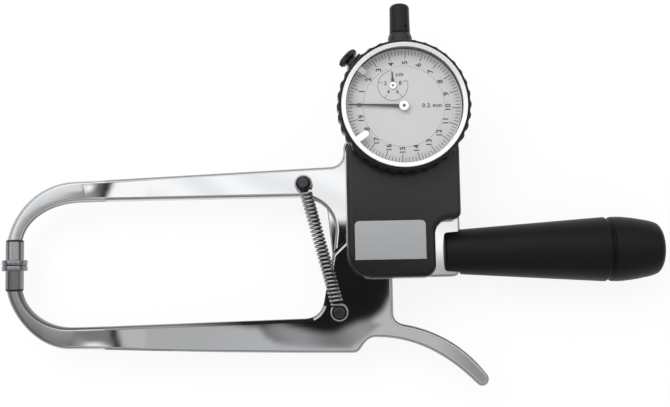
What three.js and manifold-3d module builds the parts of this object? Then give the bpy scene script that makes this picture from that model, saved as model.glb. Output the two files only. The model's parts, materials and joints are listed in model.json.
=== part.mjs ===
// Skinfold caliper, millimetres, lying flat on its back.
// X runs from the jaws to the handle, Y from the trigger to the dial, Z towards the reader.
// Everything is drawn about the hinge of the arms, and the group is then moved so that the
// origin lies on the flat back of the frame plate, behind the dial gauge.
import * as THREE from 'three';
import { mergeVertices } from 'three/addons/utils/BufferGeometryUtils.js';
import Module from 'manifold-3d';

const wasm = await Module();
wasm.setup();

// Clearances
const GAP = 0.3; // between pieces that touch
const RUN = 0.35; // between a shaft and its bore
const SWEEP = 0.6; // round a piece that swings past another
const WELD = 1e-4; // points nearer than this are one point
const OUTLINE_STEP = 0.02; // the same, along an outline

// Arms
const ARM_THICK = 8;
const ARM_ROUND = 1.5; // rounding of the polished edges
const LAP_GAP = 0.15; // each side of the mid-plane where the arms lap
const OPENING = THREE.MathUtils.degToRad(29.3); // jaws 80 mm apart
const HUB_R = 8.07;
const STEP_R = 20.8; // outside this the moving arm has its full thickness
const CHEEK_TOP = -LAP_GAP;
const FRAME_TOP = ARM_THICK / 2;
const FRAME_BACK = -ARM_THICK / 2;

// Jaws
const JAW_X = -158.9;
const JAW_Y = -8.15; // where the two round faces meet
const FACE_R = 5.45;
const FACE_THICK = 2.4;
const BARREL_R = 3.9;
const BARREL_LONG = 11.3;
const JAW_ROUND = 0.6;
const SPIGOT_R = 1.5;
const SPIGOT_LONG = 6;
const ARM_TIP = 4; // width of each arm where its jaw begins

// Hinge of the arms
const PIN_R = 2.9;
const BUSH_R = 5;
const PIN_HEAD_R = 5.2;
const PIN_HEAD = 1.3;

// Springs and their posts, one spring on each side of the arms
const POST_UP = new THREE.Vector2(-30.2, 25.1);
const POST_LOW = new THREE.Vector2(-15.5, -31.1);
const POST_R = 1.5;
const POST_HEAD_R = 2.3;
const POST_HEAD = 1.8;
const POST_REACH = 13; // from the mid-plane to the top of the head
const LOOP_R = 3.4; // wire centre of the end loops
const BUSH_FLOOR_R = 2.6; // bottom of the groove that a loop sits in
const SPRING_Z = 8.4;
const COIL_R = 2.35; // wire centre of the coils
const WIRE_R = 0.5;
const COILS = 31;
const COIL_LEAD = 1.15; // from an end loop to the first coil
const POST_SLACK = 0.45; // inside the bushes, taken up as the arms open

// Frame plate and cover
const PLATE_LEFT = -12.3;
const PLATE_RIGHT = 38.2;
const PLATE_TOP = 44;
const PLATE_BOTTOM = -16.6;
const BASE_THICK = 1.2;
const BASE_RIM = 0.45; // shows round the cover
const COVER_LEFT = -11.4;
const COVER_RIGHT = 37.5;
const COVER_NARROW = 26.2; // right edge beside the handle
const COVER_STEP = 8; // height of the step beside the handle
const COVER_TOP = 16.5;
const COVER_WALL = 1.5;
const COVER_HORN = 41.5; // top of the horns beside the gauge case
const COVER_ROUND = 1.6;

// Label plate, bare
const LABEL = { left: -8.3, right: 22, low: -8.9, high: 7.7, thick: 0.5, corner: 2 };

// Handle
const HANDLE_Y = -5.75;
const GRIP_START = 31;
const GRIP_R0 = 9.8;
const GRIP_END = 103.1;
const GRIP_R1 = 14.25;
const GRIP_ROUND = 1.2;
const CAP_LONG = 24.8;
const CAP_R = GRIP_R1; // the end cap carries on the line of the grip
const TANG_END = 60;
const TANG_WIDE = 12;
const BOLT_R = 2.2;

// Dial gauge
const DIAL = new THREE.Vector2(13.4, 55.5);
const STEM_Z = 10.8; // height of the plunger's axis
const CASE_R = 26.1;
const CASE_WALL = 2.2;
const BACK_THICK = 0.7;
const CASE_FRONT = 17.9;
const LIP_STEP = 0.8; // the lip that the bezel turns on is smaller than the case by this
const LIP_R = CASE_R - LIP_STEP;
const LIP_FRONT = 21.7;
const DIAL_STEP = 0.7; // from the lip in to the edge of the dial
const DIAL_R = LIP_R - DIAL_STEP;
const DIAL_FACE = 24;
const DIAL_THICK = 0.8;
const SCALE_WIDE = 7.3; // the turning scale round the fixed middle of the dial
const DISC_R = DIAL_R - SCALE_WIDE;
const GLASS_STEP = 1.9; // from the edge of the dial out to the edge of the glass
const GLASS_R = DIAL_R + GLASS_STEP;
const GLASS_THICK = 0.9;
const GLASS_BACK = 26.6;
const BEZEL_RIM = 1.9; // outside the glass
const BEZEL_R = GLASS_R + BEZEL_RIM;
const BEZEL_PLAY = 0.4; // round the lip, the dial and the glass
const BEZEL_BACK = CASE_FRONT + GAP + 0.1;
const BEZEL_FRONT = 28.3;
const BAND_HIGH = 1.9; // plain band in front of the scallops
const SCALLOPS = 36;
const SCALLOP_DEEP = 0.7;
const TRIM_R = GLASS_R;
const TRIM_WIDE = 1.95;
const TRIM_INNER_R = TRIM_R - TRIM_WIDE;
const TRIM_FRONT = 29.1;
const TRIM_FLANGE = 0.6;
const MARKER_DEEP = 5.5; // from the edge of the dial in to the tip of a limit marker
const MARKER_THICK = 0.4;
const STEM_R = 4;
const STEM_END = 12;
const NECK_LONG = 4.1; // how far the stem and the collar reach into the case
const COLLAR_R = 5.3;
const COLLAR_LONG = 8.1;
const COLLAR_START = DIAL.y + CASE_R + GAP + 0.1;
const COLLAR_END = COLLAR_START + COLLAR_LONG;
const DUST_CAP_R = 4.4;
const DUST_CAP_LONG = 13;
const DUST_CAP_ROOF = 1.8;
const PLUNGER_R = 2;
const PLUNGER_PROUD = 2.4; // out of the collar, inside the dust cap
const PLUNGER_TOP = COLLAR_END + PLUNGER_PROUD;

// Clamp that holds the bezel where it was turned to
const CLAMP_ANGLE = THREE.MathUtils.degToRad(134.5);
const CLAMP_Z = 14;
const CLAMP_R = 1.5;
const CLAMP_NECK_R = 2.5;
const CLAMP_NECK = 1.4;
const CLAMP_HEAD_R = 4.65;
const CLAMP_HEAD = 2.8;
const CLAMP_EDGE = 0.35; // chamfer of the knurled head
const SHOE_WIDE = 7;
const SHOE_WALL = 1.5; // outside the bezel
const SHOE_BACK = 8.5;
const SHOE_STEP = 12; // the shoe stands outside the bezel from here on
const SHOE_PROUD = 3.7; // how far the shoe reaches up beside the bezel

// Gauge drive: a finger on the hub lifts the plunger by a hardened roller
const ROLLER_R = 2;
const FINGER_ROOT_R = 4.5;
const FINGER_TIP_R = 2.4;
const TIP_R = 2.3;

// Gear train
const PINION_TEETH = 12;
const RACK_GEAR_TEETH = 70;
const COUNTER_TEETH = 60;
const COUNTER = new THREE.Vector2(-4.45, 8.9); // small hand, from the dial's middle
const TURNS = 4; // of the main pointer over the whole opening
const TOOTH_TIP = 0.7; // of the module, outside the pitch line
const TOOTH_ROOT = 1.1; // of the module, inside the pitch line

const colours = {
  steel: { color: 0xc9cbcc, metalness: 1, roughness: 0.12 },
  jawSteel: { color: 0x77797b, metalness: 1, roughness: 0.3 },
  springSteel: { color: 0xa5a6a8, metalness: 1, roughness: 0.25 },
  darkSteel: { color: 0x3c3d3f, metalness: 0.9, roughness: 0.4 },
  blackPaint: { color: 0x232425, metalness: 0, roughness: 0.25 },
  blackPlastic: { color: 0x19191a, metalness: 0, roughness: 0.55 },
  alloy: { color: 0xb6b8ba, metalness: 1, roughness: 0.4 },
  brass: { color: 0xb5974a, metalness: 1, roughness: 0.35 },
  dial: { color: 0xb9bbbc, metalness: 0.1, roughness: 0.5 },
  pointer: { color: 0x2a2a2b, metalness: 0.2, roughness: 0.4 },
  glass: { color: 0xf2f6f8, metalness: 0, roughness: 0.05, transparent: true, opacity: 0.3 },
};

const V = (x, y) => new THREE.Vector2(x, y);
const caliper = new THREE.Group();

function weld(geometry) {
  const bare = geometry.clone();
  bare.deleteAttribute('normal');
  bare.deleteAttribute('uv');
  const merged = mergeVertices(bare, WELD);
  const old = merged.index.array;
  const kept = [];
  for (let i = 0; i < old.length; i += 3) {
    const [a, b, c] = [old[i], old[i + 1], old[i + 2]];
    if (a !== b && b !== c && c !== a) kept.push(a, b, c);
  }
  merged.setIndex(kept);
  return merged;
}

function volume(geometry) {
  const [a, b, c] = [new THREE.Vector3(), new THREE.Vector3(), new THREE.Vector3()];
  const { position } = geometry.attributes;
  const index = geometry.index.array;
  let sum = 0;
  for (let i = 0; i < index.length; i += 3) {
    a.fromBufferAttribute(position, index[i]);
    b.fromBufferAttribute(position, index[i + 1]);
    c.fromBufferAttribute(position, index[i + 2]);
    sum += a.dot(b.cross(c)) / 6;
  }
  return sum;
}

function closed(geometry) {
  const welded = weld(geometry);
  if (volume(welded) < 0) {
    const index = welded.index.array;
    for (let i = 0; i < index.length; i += 3) {
      [index[i + 1], index[i + 2]] = [index[i + 2], index[i + 1]];
    }
  }
  return welded;
}

function solid(geometry) {
  const welded = closed(geometry);
  return new wasm.Manifold(new wasm.Mesh({
    numProp: 3,
    vertProperties: new Float32Array(welded.attributes.position.array),
    triVerts: new Uint32Array(welded.index.array),
  }));
}

function geometryOf(body) {
  const { vertProperties, triVerts } = body.getMesh();
  const geometry = new THREE.BufferGeometry();
  geometry.setAttribute('position', new THREE.BufferAttribute(new Float32Array(vertProperties), 3));
  geometry.setIndex([...triVerts]);
  return geometry;
}

function join(...shapes) {
  return geometryOf(shapes.map(solid).reduce((sum, next) => sum.add(next)));
}

function cut(base, ...tools) {
  return geometryOf(tools.map(solid).reduce((rest, tool) => rest.subtract(tool), solid(base)));
}

function add(name, geometry, look) {
  const mesh = new THREE.Mesh(closed(geometry), new THREE.MeshStandardMaterial(look));
  mesh.geometry.computeVertexNormals();
  mesh.name = name;
  caliper.add(mesh);
  return mesh;
}

// The points of an outline or hole, without the ones that fall on the point before them
function distinct(points) {
  const apart = (a, b) => a.distanceTo(b) > OUTLINE_STEP;
  const kept = points.filter((p, i) => i === 0 || apart(p, points[i - 1]));
  return apart(kept[0], kept.at(-1)) ? kept : kept.slice(0, -1);
}

// An outline pushed up from z0 to z1, with its edges rounded
function plate(shape, z0, z1, round = 0, steps = 2, curveSegments = 8) {
  const outline = new THREE.Shape(distinct(shape.getPoints(curveSegments)));
  outline.holes = shape.holes.map((h) => new THREE.Path(distinct(h.getPoints(curveSegments))));
  const geometry = new THREE.ExtrudeGeometry(outline, {
    depth: z1 - z0 - 2 * round,
    bevelEnabled: round > 0,
    bevelThickness: round,
    bevelSize: round,
    bevelOffset: -round,
    bevelSegments: steps,
  });
  return geometry.translate(0, 0, z0 + round);
}

// A profile of [radius, height] points turned about the Z axis
function turned(profile, segments = 32) {
  const points = profile.map(([r, z]) => V(r, z));
  return new THREE.LatheGeometry(points, segments).rotateX(Math.PI / 2);
}

function rod(r, z0, z1, segments = 24, chamfer = 0) {
  const profile = chamfer > 0
    ? [[0, z0], [r - chamfer, z0], [r, z0 + chamfer], [r, z1 - chamfer], [r - chamfer, z1], [0, z1]]
    : [[0, z0], [r, z0], [r, z1], [0, z1]];
  return turned(profile, segments);
}

function ring(rIn, rOut, z0, z1, segments = 24) {
  return turned([[rIn, z0], [rOut, z0], [rOut, z1], [rIn, z1], [rIn, z0]], segments);
}

// The same pieces with their axis along Y or X, z0 and z1 then being measured that way
const alongY = (geometry) => geometry.rotateX(-Math.PI / 2);
const alongX = (geometry) => geometry.rotateY(Math.PI / 2);

function box(x0, x1, y0, y1, z0, z1) {
  const geometry = new THREE.BoxGeometry(x1 - x0, y1 - y0, z1 - z0);
  return geometry.translate((x0 + x1) / 2, (y0 + y1) / 2, (z0 + z1) / 2);
}

const turn = (p, angle) => p.clone().rotateAround(V(0, 0), angle);

// Fixed arm: a C-shaped arm and a frame plate in one piece. The lower part of the plate is
// milled to half its thickness, and the moving arm's hub laps it there.
const SWING_LINE = V(HUB_R + SWEEP, 0); // the hub's right side, turned to the open position
const openEdge = (y) => {
  const foot = turn(SWING_LINE, OPENING);
  return foot.x + (foot.y - y) * Math.tan(OPENING);
};
const NECK_LOW = V(-18.1, -5.9); // left corner of the moving arm's neck
const NECK_AXIS = V(6.4, 6).normalize(); // along the slanted shoulder above it

// A round stretch about the hinge or another centre, from one angle to another in degrees
function arcAbout(shape, r, from, to, steps, centre = V(0, 0)) {
  for (let i = 0; i <= steps; i += 1) {
    const angle = THREE.MathUtils.degToRad(from + ((to - from) * i) / steps);
    const [x, y] = [centre.x + r * Math.cos(angle), centre.y + r * Math.sin(angle)];
    if (shape.curves.length === 0 && i === 0) shape.moveTo(x, y);
    else shape.lineTo(x, y);
  }
}

function plateFoot(shape) {
  const r = STEP_R - GAP;
  const half = THREE.MathUtils.radToDeg(Math.acos(-PLATE_BOTTOM / r));
  arcAbout(shape, r, -145, -90 - half, 4);
  arcAbout(shape, r, half - 90, -35.5, 4);
  shape.lineTo(openEdge(PLATE_BOTTOM), PLATE_BOTTOM);
  shape.lineTo(PLATE_RIGHT - 4, PLATE_BOTTOM);
  shape.quadraticCurveTo(PLATE_RIGHT, PLATE_BOTTOM, PLATE_RIGHT, PLATE_BOTTOM + 5);
}

function fixedArmOutline() {
  const tip = V(JAW_X, JAW_Y + BARREL_LONG);
  const shape = new THREE.Shape();
  shape.moveTo(tip.x - ARM_TIP / 2, tip.y);
  shape.lineTo(tip.x + ARM_TIP / 2, tip.y);
  shape.bezierCurveTo(tip.x + 3.3, 11, tip.x + 12.4, 19.7, tip.x + 28.9, 19.7);
  shape.lineTo(-33, 19.9);
  shape.bezierCurveTo(-24, 19.9, -16.8, 14, -16.5, 4.6);
  shape.lineTo(-17.6, -5);
  plateFoot(shape);
  shape.lineTo(PLATE_RIGHT, PLATE_TOP - 3);
  shape.quadraticCurveTo(PLATE_RIGHT, PLATE_TOP, PLATE_RIGHT - 3, PLATE_TOP);
  shape.lineTo(PLATE_LEFT + 3, PLATE_TOP);
  shape.quadraticCurveTo(PLATE_LEFT, PLATE_TOP, PLATE_LEFT, PLATE_TOP - 3);
  shape.lineTo(PLATE_LEFT, 40);
  shape.quadraticCurveTo(PLATE_LEFT, 33.1, -18.5, 32.8);
  shape.lineTo(tip.x + 25.9, 28.3);
  shape.bezierCurveTo(tip.x + 10.4, 26.8, tip.x + 0.7, 15.5, tip.x - ARM_TIP / 2, tip.y);
  return shape;
}

function cheekOutline() {
  const shape = new THREE.Shape();
  shape.moveTo(-26, 22);
  shape.bezierCurveTo(-21, 18.5, -19.9, 15, -19.7, 11);
  shape.lineTo(-18.1, -6.5);
  plateFoot(shape);
  shape.lineTo(PLATE_RIGHT, 22);
  return shape;
}

// Room for the hub and the neck of the moving arm between its two limits
function hubPocket() {
  const shoulder = NECK_LOW.clone().add(V(-NECK_AXIS.y, NECK_AXIS.x).multiplyScalar(SWEEP));
  const far = shoulder.clone().sub(NECK_AXIS.clone().multiplyScalar(20));
  const start = Math.atan2(NECK_AXIS.x, -NECK_AXIS.y);
  const shape = new THREE.Shape();
  shape.moveTo(far.x, far.y);
  shape.lineTo(far.x, -40);
  shape.lineTo(openEdge(-40), -40);
  shape.absarc(0, 0, HUB_R + SWEEP, OPENING, start, false);
  return plate(shape, CHEEK_TOP, FRAME_TOP + 1);
}

function bore(r, x, y, z0, z1, segments = 24) {
  return rod(r, z0, z1, segments).translate(x, y, 0);
}

const COVER_SCREWS = [V(-8.4, 24), V(34, 15), V(23.5, -13)];
const SCREW_R = 1.5;
const SCREW_HEAD_R = 2.8;

function fixedArm() {
  const arm = plate(fixedArmOutline(), FRAME_BACK, FRAME_TOP, ARM_ROUND, 2, 5);
  const cheek = plate(cheekOutline(), FRAME_BACK, CHEEK_TOP, 0, 1, 5);
  const half = TANG_WIDE / 2;
  const tang = box(PLATE_RIGHT - 2, TANG_END, HANDLE_Y - half, HANDLE_Y + half,
    FRAME_BACK, FRAME_TOP);
  const tip = JAW_Y + BARREL_LONG;
  const spigot = alongY(rod(SPIGOT_R, tip - SPIGOT_LONG, tip + 1, 16)).translate(JAW_X, 0, 0);
  const through = [FRAME_BACK - 1, FRAME_TOP + 1];
  const screwHoles = COVER_SCREWS.map((p) => bore(SCREW_R + GAP, p.x, p.y, ...through, 12));
  const sinks = COVER_SCREWS.map((p) => turned([
    [0, FRAME_BACK - 1], [SCREW_HEAD_R + 1 + GAP, FRAME_BACK - 1],
    [SCREW_R, FRAME_BACK + SCREW_HEAD_R - SCREW_R + GAP], [0, FRAME_BACK + SCREW_HEAD_R - SCREW_R + GAP],
  ], 12).translate(p.x, p.y, 0));
  const boltHole = alongX(rod(BOLT_R + GAP, TANG_END - 14, TANG_END + 1, 16))
    .translate(0, HANDLE_Y, 0);
  return cut(
    join(arm, cheek, tang, spigot),
    hubPocket(),
    bore(PIN_R + GAP, 0, 0, ...through, 16),
    bore(POST_R + GAP, POST_UP.x, POST_UP.y, ...through, 14),
    boltHole,
    ...screwHoles,
    ...sinks,
  );
}

// Moving arm: jaw arm, heel, hub and trigger lever in one piece
function movingArmOutline() {
  const tip = V(JAW_X, JAW_Y - BARREL_LONG);
  const shape = new THREE.Shape();
  shape.moveTo(tip.x - ARM_TIP / 2, tip.y);
  shape.bezierCurveTo(tip.x + 1, -33, tip.x + 12.9, -44.2, tip.x + 24.9, -44.9);
  shape.quadraticCurveTo(-70, -48, -9.5, -48.9);
  shape.bezierCurveTo(-5.5, -48.9, -5.8, -42.3, 0.5, -42.3);
  shape.bezierCurveTo(17, -42.6, 31, -50, 44.2, -63.4);
  shape.bezierCurveTo(46.5, -65.8, 50.6, -62.6, 48.4, -59.4);
  shape.bezierCurveTo(38, -45.5, 25, -39.5, 13, -37.2);
  shape.quadraticCurveTo(HUB_R, -36.2, HUB_R, -32);
  shape.lineTo(HUB_R, 0);
  shape.absarc(0, 0, HUB_R, 0, Math.atan2(NECK_AXIS.x, -NECK_AXIS.y), false);
  shape.lineTo(NECK_LOW.x, NECK_LOW.y);
  shape.lineTo(-22, -26);
  shape.quadraticCurveTo(-23.4, -33.8, -31, -33.9);
  shape.lineTo(tip.x + 25.4, -36);
  shape.bezierCurveTo(tip.x + 11.4, -36, tip.x + 3.5, -26.8, tip.x + ARM_TIP / 2, tip.y);
  return shape;
}

function movingArm() {
  const arm = plate(movingArmOutline(), FRAME_BACK, FRAME_TOP, ARM_ROUND, 2, 5);
  const lap = rod(STEP_R, FRAME_BACK - 1, LAP_GAP, 32);
  const tip = JAW_Y - BARREL_LONG;
  const spigot = alongY(rod(SPIGOT_R, tip - 1, tip + SPIGOT_LONG, 16)).translate(JAW_X, 0, 0);
  const through = [FRAME_BACK - 1, FRAME_TOP + 1];
  return cut(
    join(arm, spigot),
    lap,
    bore(BUSH_R + GAP, 0, 0, ...through, 16),
    bore(POST_R + GAP, POST_LOW.x, POST_LOW.y, ...through, 14),
  );
}

add('fixed_arm', fixedArm(), colours.steel);
add('moving_arm', movingArm(), colours.steel);

// Jaws: a turned barrel with a round flanged face, pressed on the spigot of its arm
function jaw(side) {
  const long = BARREL_LONG - GAP * 1.5;
  const inner = SPIGOT_R + GAP;
  const profile = [
    [0, 0], [FACE_R - JAW_ROUND, 0], [FACE_R, JAW_ROUND], [FACE_R, FACE_THICK - JAW_ROUND],
    [FACE_R - JAW_ROUND, FACE_THICK], [BARREL_R, FACE_THICK], [BARREL_R, long - JAW_ROUND],
    [BARREL_R - JAW_ROUND, long], [inner, long], [inner, long - SPIGOT_LONG - GAP],
    [0, long - SPIGOT_LONG - GAP],
  ];
  const geometry = alongY(turned(profile, 20));
  if (side < 0) geometry.rotateZ(Math.PI);
  return geometry.translate(JAW_X, JAW_Y + (side * GAP) / 2, 0);
}

add('fixed_jaw', jaw(1), colours.jawSteel);
add('moving_jaw', jaw(-1), colours.jawSteel);

// Hinge: a headed pin from the back, a bush in the hub, and a washer and nut under the cover
const BOSS_TOP = FRAME_TOP + GAP + 3.9; // top of the finger's boss
const WASHER = 0.6;
const NUT = 2.4;
const NUT_R = 4.4;
const NUT_BACK = BOSS_TOP + 2 * GAP + WASHER;

function hexagon(r) {
  const corner = (i) => V(r, 0).rotateAround(V(0, 0), (i * Math.PI) / 3);
  return new THREE.Shape([0, 1, 2, 3, 4, 5].map(corner));
}

add('pivot_pin', join(
  rod(PIN_R, FRAME_BACK - GAP - 0.5, NUT_BACK + NUT + GAP, 16, 0.4),
  rod(PIN_HEAD_R, FRAME_BACK - GAP - PIN_HEAD, FRAME_BACK - GAP, 16, 0.4),
), colours.darkSteel);
add('pivot_bush', ring(PIN_R + GAP, BUSH_R, LAP_GAP, FRAME_TOP - LAP_GAP, 16), colours.brass);
add('pivot_washer', ring(PIN_R + GAP, NUT_R + 0.6, BOSS_TOP + GAP, BOSS_TOP + GAP + WASHER, 16),
  colours.alloy);
add('pivot_nut', cut(
  plate(hexagon(NUT_R), NUT_BACK, NUT_BACK + NUT),
  rod(PIN_R + GAP, NUT_BACK - 1, NUT_BACK + NUT + 1, 16),
), colours.darkSteel);

// Spring posts, one screwed into each face of each arm, and the grooved bushes on them
const POST_COLLAR = 0.7;
const BUSH_START = FRAME_TOP + GAP + POST_COLLAR + GAP;
const BUSH_END = POST_REACH - POST_HEAD - GAP;

function post(at, side) {
  const seat = FRAME_TOP + GAP;
  const neck = POST_REACH - POST_HEAD;
  const shank = turned([
    [0, GAP], [POST_R, GAP], [POST_R, seat], [POST_HEAD_R, seat], [POST_HEAD_R, seat + POST_COLLAR],
    [POST_R, seat + POST_COLLAR], [POST_R, neck], [POST_HEAD_R, neck],
    [POST_HEAD_R, POST_REACH - 0.6], [POST_HEAD_R - 0.6, POST_REACH], [0, POST_REACH],
  ], 10);
  if (side < 0) shank.rotateX(Math.PI);
  return shank.translate(at.x, at.y, 0);
}

function springBush(at, side) {
  const bore = POST_R + POST_SLACK;
  const lip = BUSH_FLOOR_R + 0.6;
  const groove = WIRE_R + GAP;
  const bush = turned([
    [bore, BUSH_START], [lip, BUSH_START], [lip, SPRING_Z - groove], [BUSH_FLOOR_R, SPRING_Z - groove],
    [BUSH_FLOOR_R, SPRING_Z + groove], [lip, SPRING_Z + groove], [lip, BUSH_END], [bore, BUSH_END],
    [bore, BUSH_START],
  ], 10);
  if (side < 0) bush.rotateX(Math.PI);
  return bush.translate(at.x, at.y, 0);
}

// A wire of five sides through a list of points, closed at both ends
function wire(points, r, sides = 5) {
  const frames = [];
  let across = new THREE.Vector3(0, 0, 1);
  points.forEach((p, i) => {
    const before = points[Math.max(i - 1, 0)];
    const after = points[Math.min(i + 1, points.length - 1)];
    const along = after.clone().sub(before).normalize();
    across = across.clone().addScaledVector(along, -across.dot(along)).normalize();
    frames.push([p, across, along.clone().cross(across)]);
  });
  const position = [];
  frames.forEach(([p, u, v]) => {
    for (let k = 0; k < sides; k += 1) {
      const angle = (2 * Math.PI * k) / sides;
      position.push(...p.clone().addScaledVector(u, r * Math.cos(angle))
        .addScaledVector(v, r * Math.sin(angle)).toArray());
    }
  });
  const index = [];
  for (let i = 0; i < frames.length - 1; i += 1) {
    for (let k = 0; k < sides; k += 1) {
      const [a, b] = [i * sides + k, i * sides + ((k + 1) % sides)];
      index.push(a, b, b + sides, a, b + sides, a + sides);
    }
  }
  const last = (frames.length - 1) * sides;
  for (let k = 1; k < sides - 1; k += 1) {
    index.push(0, k + 1, k, last, last + k, last + k + 1);
  }
  const geometry = new THREE.BufferGeometry();
  geometry.setAttribute('position', new THREE.Float32BufferAttribute(position, 3));
  geometry.setIndex(index);
  return geometry;
}

// Centre line of a spring: a loop round the upper post, the coils, a loop round the lower post
function springLine(side) {
  const down = POST_LOW.clone().sub(POST_UP);
  const long = down.length();
  down.normalize();
  const across = V(-down.y, down.x).multiplyScalar(side);
  const place = (s, e, k) => new THREE.Vector3(
    POST_UP.x + down.x * s + across.x * e,
    POST_UP.y + down.y * s + across.y * e,
    side * (SPRING_Z + k),
  );
  const loopStart = THREE.MathUtils.degToRad(42);
  const steps = 14;
  const loop = (centre, sign) => {
    const points = [];
    for (let i = 0; i <= steps; i += 1) {
      const angle = loopStart + ((2 * Math.PI - 2 * loopStart) * i) / steps;
      points.push(place(centre + sign * LOOP_R * Math.cos(angle), sign * LOOP_R * Math.sin(angle), 0));
    }
    return points;
  };
  const first = LOOP_R + COIL_LEAD;
  const pitch = (long - 2 * first) / COILS;
  const coils = [];
  const each = 8;
  for (let i = 0; i <= COILS * each; i += 1) {
    const angle = Math.PI + (2 * Math.PI * i) / each;
    coils.push(place(first + (pitch * i) / each, COIL_R * Math.cos(angle),
      -COIL_R * Math.sin(angle)));
  }
  const upper = loop(0, 1);
  const lower = loop(long, -1).reverse();
  const freeEnd = (end, next) => end.clone().add(end.clone().sub(next).setLength(2 * WIRE_R));
  return [freeEnd(upper[0], upper[1]), ...upper, ...coils, ...lower,
    freeEnd(lower.at(-1), lower.at(-2))];
}

function leastGap(points, skip) {
  let least = Infinity;
  for (let i = 0; i < points.length; i += 1) {
    for (let j = i + skip; j < points.length; j += 1) {
      least = Math.min(least, points[i].distanceTo(points[j]));
    }
  }
  return least - 2 * WIRE_R;
}

console.log('least gap of a spring to itself, mm:', leastGap(springLine(1), 6).toFixed(2));
[['front', 1], ['rear', -1]].forEach(([face, side]) => {
  add(`${face}_upper_post`, post(POST_UP, side), colours.darkSteel);
  add(`${face}_lower_post`, post(POST_LOW, side), colours.darkSteel);
  add(`${face}_upper_bush`, springBush(POST_UP, side), colours.alloy);
  add(`${face}_lower_bush`, springBush(POST_LOW, side), colours.alloy);
  add(`${face}_spring`, wire(springLine(side), WIRE_R), colours.springSteel);
});

// Base plate and cover: the plate closes the milled pocket, the cover hides the gauge drive
const BASE_BACK = FRAME_TOP + GAP;
const BASE_TOP = BASE_BACK + BASE_THICK;
const CASE_BACK = BASE_TOP + GAP;
const FINGER_BOSS_R = 6.5;
const CORNER_BIG = 11;
const CORNER_LOW = 5;
const CORNER_STEP = 3.2;
const CORNER_INNER = 6.5;

// Outline of the cover, grown outwards by m, up to a straight top
function coverOutline(m, high) {
  const [left, right, low] = [COVER_LEFT - m, COVER_RIGHT + m, PLATE_BOTTOM - m];
  const narrow = COVER_NARROW + m;
  const step = COVER_STEP - m;
  const shape = new THREE.Shape();
  const big = CORNER_BIG + m;
  arcAbout(shape, big, 180, 270, 6, V(left + big, low + big));
  const small = CORNER_LOW + m;
  arcAbout(shape, small, 270, 360, 4, V(narrow - small, low + small));
  const inner = CORNER_INNER - m;
  arcAbout(shape, inner, 180, 90, 4, V(narrow + inner, step - inner));
  const top = CORNER_STEP + m;
  arcAbout(shape, top, 270, 360, 3, V(right - top, step + top));
  arcAbout(shape, top, 0, 90, 3, V(right - top, high - top));
  arcAbout(shape, top, 90, 180, 3, V(left + top, high - top));
  return new THREE.Shape(distinct(shape.getPoints()));
}

// Room for the front spring, which swings past the cover's lower corner as the arms open
function springRoom() {
  const open = turn(POST_LOW, OPENING);
  const swing = Math.atan2(open.x - POST_UP.x, POST_UP.y - open.y);
  const half = COIL_R + WIRE_R + SWEEP;
  return box(-half, half, -POST_UP.distanceTo(open), 0, -half, half)
    .rotateZ(swing).translate(POST_UP.x, POST_UP.y, SPRING_Z);
}

add('base_plate', cut(
  plate(coverOutline(BASE_RIM, PLATE_TOP), BASE_BACK, BASE_TOP),
  springRoom(),
  rod(FINGER_BOSS_R + SWEEP, BASE_BACK - 1, BASE_TOP + 1, 20),
  ...COVER_SCREWS.map((p) => bore(SCREW_R + GAP, p.x, p.y, BASE_BACK - 1, BASE_TOP + 1, 12)),
), colours.steel);

const SCREW_TOP = 11.5;

// A shell with screw bosses, cut round at the top where the gauge case sits in it
function cover() {
  const z0 = BASE_TOP + GAP;
  const outer = plate(coverOutline(0, COVER_HORN), z0 - 2 * COVER_ROUND, COVER_TOP, COVER_ROUND, 2);
  const below = box(-60, 60, -60, 60, -10, z0);
  const inside = COVER_HORN - COVER_WALL;
  const roof = COVER_TOP - COVER_WALL;
  const seat = CASE_R + 2 * GAP;
  const round = (r, z1) => rod(r, z0 - 2, z1, 36).translate(DIAL.x, DIAL.y, 0);
  const room = cut(plate(coverOutline(-COVER_WALL, inside), z0 - 1, roof),
    round(seat + COVER_WALL, roof + 1));
  const bosses = COVER_SCREWS.map((p) => bore(SCREW_R + 1.5, p.x, p.y, z0, COVER_TOP - 1, 12));
  const holes = COVER_SCREWS.map((p) => bore(SCREW_R + GAP, p.x, p.y, z0 - 1, SCREW_TOP + 1, 12));
  const stemHole = alongY(rod(STEM_R + GAP, 20, 40, 20)).translate(DIAL.x, 0, STEM_Z);
  return cut(join(cut(outer, below, room), ...bosses), round(seat, COVER_TOP + 1), stemHole,
    springRoom(), ...holes);
}

function coverScrew(p) {
  return turned([
    [0, FRAME_BACK], [SCREW_HEAD_R, FRAME_BACK], [SCREW_R, FRAME_BACK + SCREW_HEAD_R - SCREW_R],
    [SCREW_R, SCREW_TOP], [0, SCREW_TOP],
  ], 12).translate(p.x, p.y, 0);
}

function labelPlate() {
  const { left, right, low, high, thick, corner } = LABEL;
  const shape = new THREE.Shape();
  shape.moveTo(left, low);
  shape.lineTo(right, low);
  arcAbout(shape, corner, 0, 90, 4, V(right - corner, high - corner));
  arcAbout(shape, corner, 90, 180, 4, V(left + corner, high - corner));
  return plate(shape, COVER_TOP + GAP, COVER_TOP + GAP + thick);
}

add('cover', cover(), colours.blackPaint);
add('label_plate', labelPlate(), colours.alloy);
COVER_SCREWS.forEach((p, i) => add(`cover_screw_${i + 1}`, coverScrew(p), colours.darkSteel));

// Handle: a tapered grip over the tang, and a domed end cap that hides the bolt
const CAP_START = GRIP_END + GAP;
const BOLT_HEAD_R = 4.4;
const BOLT_HEAD = 4;

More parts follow.
